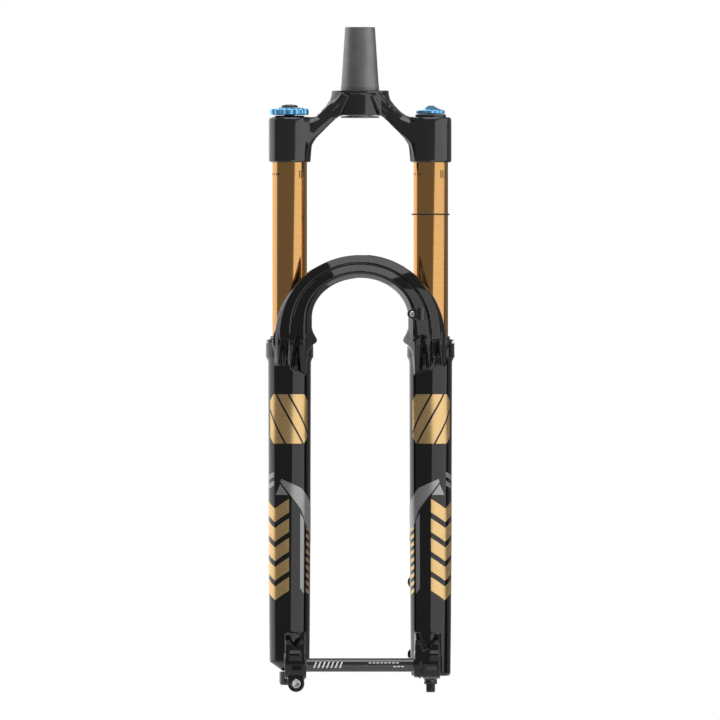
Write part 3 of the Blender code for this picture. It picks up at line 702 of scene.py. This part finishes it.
def damper_dropout(x, y, z):
    """The pinched dropout at -X."""
    boss = capped(disc(y, z, AXLE_Y, AXLE_Z, 14.3), slab(x, -77.0, -55.0), 1.2)
    arm = soft_max(outline_field(y, z, GUSSET), slab(x, -76.3, -56.2), 1.2)
    notch = outline_field(x, z, [(-73.6, -545), (-58.6, -545), (-61.0, -560), (-66.0, -572.5), (-71.0, -564)])
    arm = cut(arm, soft_max(notch, y - (LEG_Y - 20.0), 0.5), 1.0)
    body = soft_min(boss, arm, 1.5)
    barrel = capped(disc(y, z, AXLE_Y - 11.0, AXLE_Z + 9.6, 5.2), slab(x, -72.5, -61.0), 0.8)
    body = soft_min(body, barrel, 1.0)
    ear = capped(disc(x, z, PINCH_X, PINCH_Z, 8.5), slab(y, AXLE_Y - 11, AXLE_Y + 11), 1.0)
    web = soft_max(slab(x, PINCH_X - 8.4, PINCH_X + 8.4), slab(z, PINCH_Z, AXLE_Z), 0.5)
    web = soft_max(web, slab(y, AXLE_Y - 11, AXLE_Y + 11), 1.0)
    body = soft_min(body, soft_min(ear, web, 0.5), 1.2)
    panel = soft_max(slab(x, -71.2, -60.4), slab(z, -598.5, -588.6), 0.8)
    body = cut(body, soft_max(panel, y - (AXLE_Y - 12.6), 0.5), 0.6)
    slit = soft_max(slab(y, AXLE_Y - 1, AXLE_Y + 1), z - AXLE_Z, 0.1)
    body = cut(body, soft_max(slit, slab(x, -90, -50), 0.1), 0.3)
    body = cut(body, disc(y, z, AXLE_Y, AXLE_Z, 9.8) + 1e3 * (x > -40), 0.5)
    head = np.maximum(disc(x, z, PINCH_X, PINCH_Z, 5.5), y - (AXLE_Y - 7.4))
    shank = np.maximum(disc(x, z, PINCH_X, PINCH_Z, 3.0), y - (AXLE_Y + 30))
    return cut(cut(body, head, 0.4), shank, 0.3)


def air_dropout(x, y, z):
    """The threaded dropout at +X."""
    boss = capped(disc(y, z, AXLE_Y, AXLE_Z, 14.3), slab(x, 60.0, 82.0), 1.6)
    flange = capped(disc(y, z, AXLE_Y, AXLE_Z, 13.0), slab(x, 55.0, 62.0), 1.2)
    neck = capped(disc(y, z, AXLE_Y, AXLE_Z, 11.8), slab(x, 56.0, 66.0), 0.8)
    arm = soft_max(outline_field(y, z, GUSSET), slab(x, 56.2, 81.5), 1.2)
    notch = outline_field(x, z, [(57.6, -545), (81.0, -545), (76.6, -562), (70.0, -571.5), (64.8, -573.5)])
    arm = cut(arm, soft_max(notch, y - (LEG_Y - 20.0), 0.5), 1.0)
    waist = capped(disc(y, z, AXLE_Y, AXLE_Z, 60), slab(x, 62.0, 64.2), 0.5)
    boss = cut(boss, soft_max(waist, 12.6 - np.hypot(y - AXLE_Y, z - AXLE_Z), 0.5), 0.6)
    body = soft_min(soft_min(boss, soft_min(flange, neck, 0.6), 0.6), arm, 1.5)
    barrel = capped(disc(y, z, AXLE_Y - 11.0, AXLE_Z + 9.6, 5.2), slab(x, 71.0, 81.0), 0.8)
    body = soft_min(body, barrel, 1.0)
    panel = soft_max(slab(x, 68.0, 79.5), slab(z, -598.5, -588.6), 0.8)
    body = cut(body, soft_max(panel, y - (AXLE_Y - 12.8), 0.5), 0.6)
    return cut(body, disc(y, z, AXLE_Y, AXLE_Z, 7.8) + 1e3 * (x < 40), 0.4)


def leg_field(x, y, z, radial):
    """A lower leg with its foot, its collar and the rim beside the seal."""
    air_foot = np.maximum(-600.0 - z, (-600.0 - z) * 0.7 + (radial - 19.0) * 0.7)
    cone = np.interp(z, [-595.4, -585.8, -583, -575], [6.6, 20.5, 23, 40])
    damper_foot = np.maximum(-595.0 - z, radial - cone)
    leg = soft_max(radial - leg_radius(z), np.where(x > 0, air_foot, damper_foot), 1.2)
    leg = soft_max(leg, z + 262.0, 0.5)
    collar = capped(radial - 24.5, slab(z, -273.8, COLLAR_TOP), 0.8)
    skirt = soft_max(radial - np.interp(z, [-279, -273.5], [21.6, 24.2]), slab(z, -279.5, -271), 0.4)
    rim = capped(disc(np.abs(x), y, LEG_X + 20.6, LEG_Y, 3.6), slab(z, -272.5, COLLAR_TOP + 2.4), 0.8)
    return soft_min(leg, soft_min(soft_min(collar, skirt, 0.8), rim, 0.8), 0.8)


def add_bosses(body, x, a, y, z):
    """Adds the brake posts, the bleeders' bosses and the hose guide's boss."""
    for middle in POST_HEIGHTS:
        post = capped(disc(x, z, POST_X, middle, 7.4), slab(y, LEG_Y + 6, LEG_Y + 30), 0.8)
        body = soft_min(body, post, 2.0)
        body = cut(body, np.maximum(disc(x, z, POST_X, middle, 2.6), LEG_Y + 16 - y), 0.4)
    bleeder = capped(disc(a, z, LEG_X, BLEEDER_Z, 6.0), slab(y, LEG_Y + 20, LEG_Y + 31), 0.6)
    body = soft_min(body, bleeder, 1.5)
    guide = capped(disc(x, z, GUIDE_X, GUIDE_Z, 5.0), slab(y, LEG_Y - 43, LEG_Y - 30), 0.5)
    body = soft_min(body, guide, 1.0)
    return cut(body, np.maximum(disc(x, z, GUIDE_X, GUIDE_Z, 2.3), y - (LEG_Y - 34)), 0.2)


def bore_legs(body, x, a, y, z, radial):
    """Takes out the seal's seat, the stepped bore, the hole in the foot and the bleeder's hole."""
    seat = np.maximum(radial - 24.0, COLLAR_TOP - 3.0 - z)
    wall = np.interp(z, [-401, -398, -275.1, -275], [18.9, 20, 20, 22.4])
    bore = np.maximum(radial - wall, LEG_FLOOR - z)
    body = cut(cut(body, seat, 0.5), bore, 0.3)
    drain = np.maximum(radial - np.where(x > 0, 5.2, 4.2), z + 570)
    body = cut(body, drain, 0.3)
    vent = np.maximum(disc(a, z, LEG_X, BLEEDER_Z, 4.1), LEG_Y + 23.5 - y)
    return cut(body, vent, 0.3)


def casting_field(x, y, z):
    """Both legs, the arch and the dropouts in one cast piece."""
    a = np.abs(x)
    radial = np.hypot(a - LEG_X, y - LEG_Y)
    front = soft_min(arch_field(a, y, z), foot_field(a, y, z), 1.2)
    body = soft_min(leg_field(x, y, z, radial), carve_pockets(front, a, y, z), 2.2)
    drops = np.where(x > 0, air_dropout(x, y, z), damper_dropout(x, y, z))
    body = soft_min(body, drops, 2.5)
    body = add_bosses(body, x, a, y, z)
    return bore_legs(body, x, a, y, z, radial)


# Pieces


def build_crown():
    xs = np.arange(-95.5, 96.0, 0.85)
    ys = np.arange(-37.5, 30.5, 0.85)
    zs = np.arange(-76.0, 2.5, 0.85)
    points, faces, normals = field_mesh(crown_field, xs, ys, zs)
    add_piece("crown_forging", points, faces, "crown", "upper_assembly", ["crown"], normals)


def build_casting():
    feet = np.arange(-619.0, -543.0, 1.4)
    shanks = np.arange(feet[-1] + 6.0, -297.0, 6.0)
    shoulders = np.arange(shanks[-1] + 1.2, -225.0, 1.2)
    arch = np.arange(shoulders[-1] + 0.8, -165.0, 0.8)
    xs = np.arange(-99.0, 99.5, 1.05)
    ys = np.concatenate((np.arange(-60.5, -36.0, 0.9), np.arange(-36.0, 19.5, 1.8)))
    zs = np.concatenate((feet, shanks, shoulders, arch))
    points, faces, normals = field_mesh(casting_field, xs, ys, zs)
    add_piece("lower_leg_casting", points, faces, "paint", "lower_assembly", ["lower_casting"], normals)


def leg_place(side):
    return (side * LEG_X, LEG_Y, 0.0)


def build_steerer():
    low, high = span_of("steerer_tube")
    profile = [
        (19.65, low),
        (19.65, 3.5),
        (19.2, 6.0),
        (15.35, high),
        (12.2, high),
        (12.2, 48.0),
        (16.5, 0.0),
        (16.5, low),
    ]
    nodes = ["steerer_tube"]
    turned_piece("steerer_tapered_tube", profile, "grey", "upper_assembly", nodes, soften=0.6, sharp=40)


def build_stanchions():
    for side, word in SIDES.items():
        low, high = span_of(f"stanchion_{word}")
        turned_piece(
            f"stanchion_tube_{word}",
            tube(16.4, STANCHION_RADIUS, low, high),
            "gold",
            "upper_assembly",
            [f"stanchion_{word}"],
            leg_place(side),
            count=144,
        )
    low, high = span_of("sag_o_ring")
    middle = (low + high) / 2
    turn = np.linspace(0, 2 * math.pi, 13)[:-1]
    profile = [(19.0 + 0.75 * math.cos(t), middle + 0.75 * math.sin(t)) for t in turn]
    nodes = ["sag_o_ring"]
    turned_piece("travel_marker_ring", profile, "rubber", "travel_marker", nodes, leg_place(1), soften=0)


def build_seals():
    for side, word in SIDES.items():
        top = span_of(f"wiper_seal_{word}")[1]
        profile = [
            (18.35, top - 1.6),
            (18.6, top),
            (19.3, top),
            (19.7, top - 0.7),
            (19.3, top - 1.4),
            (19.3, top - 2.2),
            (20.4, top - 3.2),
            (22.6, top - 3.6),
            (23.6, top - 4.2),
            (23.7, top - 5.0),
            (22.0, top - 5.0),
            (22.0, top - 13.1),
            (18.35, top - 13.1),
        ]
        turned_piece(
            f"wiper_lip_seal_{word}",
            profile,
            "rubber",
            "lower_assembly",
            [f"wiper_seal_{word}"],
            leg_place(side),
            soften=0.3,
        )


def build_damper_controls():
    place = leg_place(-1)

    def scallops(angle, r, z):
        if r < 17.6:
            return 1.0
        wave = 0.5 - 0.5 * math.cos(16 * angle)
        return 1.0 - 0.075 * max(0.0, wave - 0.35) / 0.65

    knob = [
        (5.5, -25.5),
        (17.0, -25.5),
        (18.9, -25.2),
        (19.75, -24.2),
        (19.75, -20.2),
        (19.0, -19.2),
        (16.4, -18.3),
        (14.6, -18.2),
        (14.0, -17.7),
        (9.3, -17.7),
        (9.3, -21.0),
        (5.5, -21.0),
    ]
    nodes = ["high_speed_compression_knob"]
    turned_piece(
        "outer_dial", knob, "blue", "high_speed_knob", nodes, place, count=192, outline=scallops, soften=0.3
    )

    def ribs(angle, r, z):
        return 1.0 - (0.035 * (0.5 - 0.5 * math.cos(20 * angle)) if r > 7.8 else 0.0)

    inner = [
        (0, -15.4),
        (2.5, -15.4),
        (2.5, -14.4),
        (4.6, -14.3),
        (7.4, -15.1),
        (8.7, -16.4),
        (8.7, -20.7),
        (0, -20.7),
    ]
    nodes = ["low_speed_compression_knob"]
    turned_piece(
        "inner_dial",
        inner,
        "black_metal",
        "low_speed_knob",
        nodes,
        place,
        count=120,
        outline=ribs,
        soften=0.25,
    )
    screw = [(0, -15.0), (1.0, -15.0), (1.0, -14.25), (2.1, -14.2), (2.1, -15.3), (0, -15.3)]
    nodes = ["compression_knob_screw"]
    turned_piece("inner_dial_screw", screw, "steel", "low_speed_knob", nodes, place, count=48, soften=0.1)
    cap = [
        (0, -21.4),
        (5.1, -21.4),
        (5.1, -25.9),
        (14.4, -25.9),
        (15.4, -26.6),
        (16.0, -27.6),
        (16.0, -46.0),
        (0, -46.0),
    ]
    turned_piece("damper_cap", cap, "black_metal", "upper_assembly", ["damper_top_cap"], place, soften=0.3)


def build_piston_spring():
    """The coil behind the floating piston, built as one fixed mesh that does not shorten as the piston rises.
    """
    turns, around, wire, radius = 5.5, 10, 0.9, 8.4
    low, high = span_of("floating_piston_spring")
    low, high = low + wire, high - wire
    steps = int(turns * 28)
    points = []
    for i in range(steps + 1):
        turn = math.tau * turns * i / steps
        for k in range(around):
            side = math.tau * k / around
            reach = radius + wire * math.cos(side)
            height = low + (high - low) * i / steps + wire * math.sin(side)
            points.append((reach * math.cos(turn) - LEG_X, reach * math.sin(turn) + LEG_Y, height))
    faces = [[k for k in range(around)], [steps * around + k for k in reversed(range(around))]]
    for i in range(steps):
        for k in range(around):
            j = (k + 1) % around
            faces.append([i * around + k, (i + 1) * around + k, (i + 1) * around + j, i * around + j])
    spring = add_piece(
        "piston_coil_spring", points, faces, "steel", "upper_assembly", ["floating_piston_spring"], sharp=50
    )
    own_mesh(spring)


def build_air_cap():
    place = leg_place(1)
    cap = [
        (4.3, -24.5),
        (14.9, -24.5),
        (15.8, -25.0),
        (16.0, -26.0),
        (16.0, -46.0),
        (3.4, -46.0),
        (3.4, -88.0),
        (1.2, -88.0),
        (1.2, -40.0),
        (4.3, -40.0),
    ]
    turned_piece("air_cap", cap, "black_metal", "upper_assembly", ["air_top_cap"], place, soften=0.3)

    def flutes(angle, r, z):
        if r < 11.0 or z < -23.6 and r < 13:
            return 1.0
        return 1.0 - 0.045 * max(0.0, 0.5 - 0.5 * math.cos(12 * angle) - 0.3) / 0.7

    cover = [
        (0, -15.6),
        (2.9, -15.6),
        (3.6, -16.1),
        (8.0, -18.5),
        (11.4, -20.0),
        (13.8, -20.4),
        (14.6, -21.0),
        (14.6, -23.4),
        (14.0, -24.1),
        (4.4, -24.1),
        (4.4, -17.0),
        (0, -17.0),
    ]
    nodes = ["air_valve_cap"]
    turned_piece("valve_cover", cover, "blue", "valve_cap", nodes, place, count=144, outline=flutes)


def build_feet():
    knob = [
        (0, -602.6),
        (8.4, -602.6),
        (8.4, -595.5),
        (10.3, -595.5),
        (10.4, -596.5),
        (10.4, -606.8),
        (9.2, -609.3),
        (8.4, -609.5),
        (0, -609.5),
    ]

    def grip(angle, r, z):
        return 1.0 - (0.05 * max(0.0, 0.5 - 0.5 * math.cos(12 * angle) - 0.4) if r > 10 and z < -597 else 0.0)

    nodes = ["rebound_knob"]
    turned_piece(
        "rebound_dial", knob, "black_metal", "rebound_adjuster", nodes, leg_place(-1), outline=grip, count=144
    )
    nut = [
        (5.2, -600.9),
        (7.4, -600.9),
        (7.4, -603.2),
        (6.6, -603.8),
        (6.6, -606.6),
        (7.0, -607.0),
        (6.6, -608.6),
        (5.2, -608.6),
    ]
    nodes = ["air_foot_nut"]
    turned_piece("air_foot_fitting", nut, "black_metal", "lower_assembly", nodes, leg_place(1), soften=0.3)
    shaft = [(0, -345.5), (3.0, -345.5), (3.0, -361.4), (5.0, -361.4), (5.0, -568.0)]
    shaft += [(8.0, -568.0), (8.0, -574.6), (4.8, -574.6), (4.8, -605.0)]
    for i in range(9):
        z = -605.4 - i * 1.2
        shaft += [(4.95, z), (4.95, z - 0.35), (4.45, z - 0.65), (4.45, z - 0.85)]
    shaft += [(4.3, -616.9), (0, -616.9)]
    nodes = ["air_shaft"]
    turned_piece(
        "air_shaft_and_stud", shaft, "black_metal", "lower_assembly", nodes, leg_place(1), soften=0.15
    )


def build_axle():
    place = (0, AXLE_Y, AXLE_Z)
    head = span_of("thru_axle", 0)[0]
    profile = [
        (0, head + 7.0),
        (3.4, head + 7.0),
        (3.4, head),
        (8.1, head),
        (8.6, head + 0.5),
        (8.6, head + 2.8),
        (7.5, head + 2.8),
        (7.5, -55.4),
        (AXLE_RADIUS, -54.2),
        (AXLE_RADIUS, 54.2),
        (7.5, 55.4),
        (7.5, 77.5),
        (6.0, 79.4),
        (0, 79.4),
    ]
    nodes = ["thru_axle"]
    turned_piece("axle_shaft", profile, "axle", "axle", nodes, place, "X", outline=hexed(3.5))
    sleeve = tube(7.8, 9.4, -73.4, -55.4)
    turned_piece("axle_sleeve", sleeve, "steel", "lower_assembly", ["floating_axle_sleeve"], place, "X")
    bolt = [
        (0, 8.8),
        (2.3, 8.8),
        (2.3, 11.1),
        (4.2, 11.2),
        (5.0, 10.4),
        (5.0, 7.8),
        (2.8, 7.8),
        (2.8, -9.5),
        (0, -9.5),
    ]
    place = (PINCH_X, AXLE_Y, PINCH_Z)
    nodes = ["pinch_bolt"]
    socket = hexed(2.5)
    turned_piece("pinch_cap_screw", bolt, "steel", "lower_assembly", nodes, place, "FRONT", outline=socket)


def guide_field(x, y, z):
    """The hose guide: a bolted ear and a loop beside it."""
    gx, gy, gz = GUIDE_X, GUIDE_Y, GUIDE_Z
    loop_x, loop_y = 62.0, gy - 5.3
    ear = capped(disc(x, z, gx, gz, 5.0), slab(y, gy - 3.0, gy - 0.4), 0.5)
    bridge = soft_max(slab(x, gx, loop_x), slab(z, gz - 5.4, gz + 5.4), 0.6)
    bridge = soft_max(bridge, slab(y, gy - 3.0, gy - 0.4), 0.5)
    loop = capped(disc(x, y, loop_x, loop_y, 4.85), slab(z, gz - 6.5, gz + 6.5), 0.6)
    body = soft_min(soft_min(ear, bridge, 0.8), loop, 1.0)
    body = cut(body, disc(x, y, loop_x, loop_y, 3.35), 0.3)
    return cut(body, np.maximum(disc(x, z, gx, gz, 2.3), slab(y, gy - 9, gy + 2)), 0.2)


def build_hose_guide():
    low, high = (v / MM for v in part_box("hose_guide"))
    grids = [np.arange(low[i] - 2, high[i] + 2, 0.4) for i in range(3)]
    points, faces, normals = field_mesh(guide_field, *grids)
    add_piece("hose_clip", points, faces, "black_metal", "lower_assembly", ["hose_guide"], normals)
    bolt = [
        (0, 4.4),
        (1.2, 4.4),
        (1.2, 5.5),
        (2.3, 5.6),
        (2.9, 5.0),
        (2.9, 3.3),
        (1.9, 3.3),
        (1.9, -8.0),
        (0, -8.0),
    ]
    place = (GUIDE_X, GUIDE_Y, GUIDE_Z)
    nodes = ["hose_guide_bolt"]
    turned_piece(
        "hose_clip_screw", bolt, "steel", "lower_assembly", nodes, place, "FRONT", soften=0.2, count=48
    )


# Decals: plain shapes on the legs, in degrees from the leg's front line (outwards is positive) and height


BLOCK = [(-57, -318), (-43, -311.5), (48, -311.5), (63, -318)]
BLOCK += [(63, -355), (48, -362), (-43, -362), (-57, -355)]
BLOCK_BARS = ((-80, -29), (-25, 4), (8, 27), (31, 80))
SWOOSH = [
    [(22, -398.2), (25, -401.2), (-34, -430), (-34, -407.5)],
    [(-34, -407.5), (-34, -430), (-42, -437), (-50, -445), (-50, -413.5)],
    [(-50, -413.5), (-50, -445), (-88, -462), (-88, -428)],
]
STRIP = [(-31, -433), (-44, -441), (-44, -516), (-31, -510)]
WEDGE = [(25, -403.5), (4, -414.5), (40, -414.5)]
FLAGS = [
    [(46, -391), (84, -396), (84, -401), (46, -396)],
    [(46, -400), (84, -405), (84, -410), (46, -405)],
]


def clip(shape, keep):
    """The part of a flat shape on the side where keep is positive."""
    made = []
    for i, here in enumerate(shape):
        ahead = shape[(i + 1) % len(shape)]
        k0, k1 = keep(here), keep(ahead)
        if k0 >= 0:
            made.append(here)
        if (k0 >= 0) != (k1 >= 0):
            t = k0 / (k0 - k1)
            made.append((here[0] + (ahead[0] - here[0]) * t, here[1] + (ahead[1] - here[1]) * t))
    return made


def wrapped(name, shapes, finish, radius, place, body, flip=1, aim="leg", lift=0.13):
    """Flat convex shapes wrapped on a round surface as thin closed films."""
    sheet = bmesh.new()
    for shape in shapes:
        if len(shape) > 2:
            sheet.faces.new([sheet.verts.new((u, v, 0)) for u, v in shape])
    low = min(u for shape in shapes for u, v in shape)
    high = max(u for shape in shapes for u, v in shape)
    for cut_at in np.arange(math.ceil(low / 4) * 4, high, 4):
        geometry = sheet.verts[:] + sheet.edges[:] + sheet.faces[:]
        bmesh.ops.bisect_plane(sheet, geom=geometry, plane_co=(cut_at, 0, 0), plane_no=(1, 0, 0), dist=0.01)
    sheet.verts.index_update()
    count = len(sheet.verts)
    points = []
    for offset in (lift, -0.2):
        for vert in sheet.verts:
            angle, along = math.radians(vert.co.x) * flip, vert.co.y
            r = radius(along) + offset
            if aim == "leg":
                points.append((place[0] + r * math.sin(angle), place[1] - r * math.cos(angle), along))
            else:
                points.append((along, place[1] - r * math.cos(angle), place[2] + r * math.sin(angle)))
    faces = []
    for face in sheet.faces:
        ring = [vert.index for vert in face.verts]
        faces += [ring, [i + count for i in reversed(ring)]]
    for edge in sheet.edges:
        if len(edge.link_faces) == 1:
            loop = edge.link_loops[0]
            i, j = loop.vert.index, loop.link_loop_next.vert.index
            faces.append([j, i, i + count, j + count])
    sheet.free()
    mirrored = (flip < 0) != (aim != "leg")
    if mirrored:
        faces = [list(reversed(face)) for face in faces]
    return add_piece(name, points, faces, finish, body, sharp=30)


def tube_radius(z):
    return STANCHION_RADIUS


def axle_radius(x):
    return AXLE_RADIUS


def beside(offset, sign):
    """Keeps what lies on one side of a slanted line across the block."""
    return lambda p: sign * (p[1] + 337 - (p[0] * 0.38 - 3) * 1.75 - offset)


def block_bars():
    """The block, parted by slanted gaps."""
    return [clip(clip(BLOCK, beside(low, 1)), beside(high, -1)) for low, high in BLOCK_BARS]


def chevrons():
    made = []
    for i in range(5):
        top = -418.5 - i * 20.0
        made.append([(1, top), (43, top - 10), (43, top - 24), (1, top - 14)])
        made.append([(43, top - 10), (86, top), (86, top - 14), (43, top - 24)])
    return made


def ticks():
    made = []
    for i in range(9):
        top = -446.0 - i * 8.0
        made.append([(-52, top), (-70, top - 3), (-70, top - 7), (-52, top - 4)])
    return made


def oblong(u, v, wide, tall):
    return [(u, v), (u + wide, v), (u + wide, v + tall), (u, v + tall)]


def tube_marks():
    """Three bars and a row of dashes, for a stanchion."""
    bars = [oblong(at, -82.0, 4, -8.0) for at in (34, 42, 52)]
    return bars + [oblong(at, -85.0, 6, -2.0) for at in (-80, -64, -50, -38)]


def axle_dashes():
    """Slanted bars and two rows of dashes, for the axle."""
    made = [[(-26, x), (26, x + 2.6), (26, x + 4.2), (-26, x + 1.6)] for x in np.arange(-48.0, -18.0, 4.4)]
    made += [oblong(13, x, 8, 2.6) for x in np.arange(9.0, 40.0, 4.0)]
    return made + [oblong(-18, x, 9, 3.0) for x in np.arange(34.0, 46.0, 4.0)]


def build_decals():
    films = {
        "block": (block_bars(), "decal_gold"),
        "swoosh": (SWOOSH, "decal_grey"),
        "strip": ([STRIP], "decal_grey"),
        "wedge": ([WEDGE], "decal_grey"),
        "chevrons": (chevrons(), "decal_gold"),
        "ticks": (ticks(), "decal_gold"),
        "flags": (FLAGS, "decal_grey"),
    }
    for side, word in SIDES.items():
        place = leg_place(side)
        for kind, (shapes, finish) in films.items():
            wrapped(f"decal_{kind}_{word}", shapes, finish, leg_radius, place, "lower_assembly", side)
        wrapped(f"tube_marks_{word}", tube_marks(), "ink", tube_radius, place, "upper_assembly", lift=0.05)
    place = (0, AXLE_Y, AXLE_Z)
    wrapped("axle_dashes", axle_dashes(), "mark", axle_radius, place, "axle", aim="axle", lift=0.08)


def finish_cad_nodes():
    """Gives the carried-over CAD pieces, most of them hidden inside, their finish."""
    slots = {row["node"]: row["material_slot"] for row in frame["record"]["subparts"]}
    for node, piece in frame["nodes"].items():
        piece.data.materials.clear()
        piece.data.materials.append(materials[CAD_FINISH[slots[node]]])


# Surroundings


def add_softbox(name, middle, facing, width, height, radiance, lean=0.0):
    """A softbox that faces along a direction; lean tips it about that direction, in degrees."""
    data = bpy.data.lights.new(name, "AREA")
    data.shape = "RECTANGLE"
    data.size, data.size_y = width, height
    data.energy = radiance * math.pi * width * height
    lamp = bpy.data.objects.new(name, data)
    lamp.location = middle
    tip = Quaternion((0, 0, 1), math.radians(lean))
    lamp.rotation_euler = (Vector(facing).to_track_quat("-Z", "Y") @ tip).to_euler()
    lamp.visible_camera = False
    bpy.context.scene.collection.objects.link(lamp)


def add_upright_softbox(name, start, stop, low, high, radiance, lean=0.0):
    """An upright softbox between two points of the ground plan, facing the object."""
    start, stop = Vector((*start, 0)), Vector((*stop, 0))
    middle = (start + stop) / 2
    across = (stop - start).normalized()
    facing = Vector((across.y, -across.x, 0))
    if facing.dot(-middle) < 0:
        facing = -facing
    middle.z = (low + high) / 2
    add_softbox(name, middle, facing, (stop - start).length, high - low, radiance, lean)


def build_lights():
    add_upright_softbox("softbox_right", (0.485, -0.758), (1.165, 0.04), -1.675, 1.325, 1.2, lean=-45)
    add_upright_softbox("softbox_left_rear", (-1.05, -0.02), (-0.33, 1.05), -1.1, 0.75, 1.25)
    add_upright_softbox("softbox_back", (-0.30, 1.12), (0.05, 1.2), -1.1, 0.75, 2.2)
    above = Vector((0.18, -0.5, 1.4))
    add_softbox("softbox_top", above, Vector((0.18, -0.12, -0.3)) - above, 1.75, 1.7, 2.2)


def build_world():
    """White behind the object; for reflections a dim room with one black flag at its right."""
    world = bpy.data.worlds.new("studio")
    bpy.context.scene.world = world
    world.use_nodes = True
    tree = world.node_tree
    tree.nodes.clear()
    add = tree.nodes.new
    link = tree.links.new
    output = add("ShaderNodeOutputWorld")
    mix = add("ShaderNodeMixShader")
    path = add("ShaderNodeLightPath")
    seen = add("ShaderNodeBackground")
    room = add("ShaderNodeBackground")
    place = add("ShaderNodeTexCoord")
    split = add("ShaderNodeSeparateXYZ")
    bearing = add("ShaderNodeMath")
    flag = add("ShaderNodeMapRange")
    bearing.operation = "ARCTAN2"
    seen.inputs["Color"].default_value = (1, 1, 1, 1)
    link(place.outputs["Generated"], split.inputs[0])
    link(split.outputs["Y"], bearing.inputs[0])
    link(split.outputs["X"], bearing.inputs[1])
    edge = add("ShaderNodeMath")
    edge.operation = "COMPARE"
    half_flag = math.radians(9)
    edge.inputs[1].default_value = half_flag
    edge.inputs[2].default_value = half_flag
    link(bearing.outputs[0], edge.inputs[0])
    link(edge.outputs[0], flag.inputs["Value"])
    flag.inputs["To Min"].default_value = 0.29
    flag.inputs["To Max"].default_value = 0.03
    link(flag.outputs["Result"], room.inputs["Strength"])
    link(path.outputs["Is Camera Ray"], mix.inputs["Fac"])
    link(room.outputs[0], mix.inputs[1])
    link(seen.outputs[0], mix.inputs[2])
    link(mix.outputs[0], output.inputs["Surface"])


def build_floor():
    """A round pale floor a little below the fork, which hangs free above it."""
    radius, count = 0.62, 96
    turn = [2 * math.pi * i / count for i in range(count)]
    ring = [(radius * math.cos(a), radius * math.sin(a), 0.0) for a in turn]
    mesh = bpy.data.meshes.new("studio_floor")
    mesh.from_pydata(ring, [], [list(range(count))])
    made = Nodes("pale_floor")
    speckle = made.noise(60, 2.0)
    made.drive("Base Color", made.blend(made.spread(speckle, 0, 1), (0.80, 0.80, 0.80), (0.84, 0.84, 0.84)))
    made.fix(Roughness=0.7)
    mesh.materials.append(made.material)
    floor = bpy.data.objects.new("studio_floor", mesh)
    floor.location = (0, 0, cad_low.z - 0.06)
    bpy.context.scene.collection.objects.link(floor)


def build_camera():
    """A very long lens straight in front."""
    width, middle = 0.738, -0.2764
    data = bpy.data.cameras.new("front_camera")
    data.sensor_width = 36.0
    data.lens = 1000.0
    camera = bpy.data.objects.new("front_camera", data)
    distance = width * data.lens / data.sensor_width
    camera.location = (0, LEG_Y * MM - distance, middle)
    camera.rotation_euler = (math.pi / 2, 0, 0)
    data.clip_end = 100.0
    bpy.context.scene.collection.objects.link(camera)
    bpy.context.scene.camera = camera


materials = make_materials()
finish_cad_nodes()
build_camera()
build_floor()
build_lights()
build_world()
build_steerer()
build_stanchions()
build_seals()
build_crown()
build_casting()
build_damper_controls()
build_piston_spring()
build_air_cap()
build_feet()
build_axle()
build_hose_guide()
build_decals()

bpy.context.scene.view_settings.view_transform = "Standard"
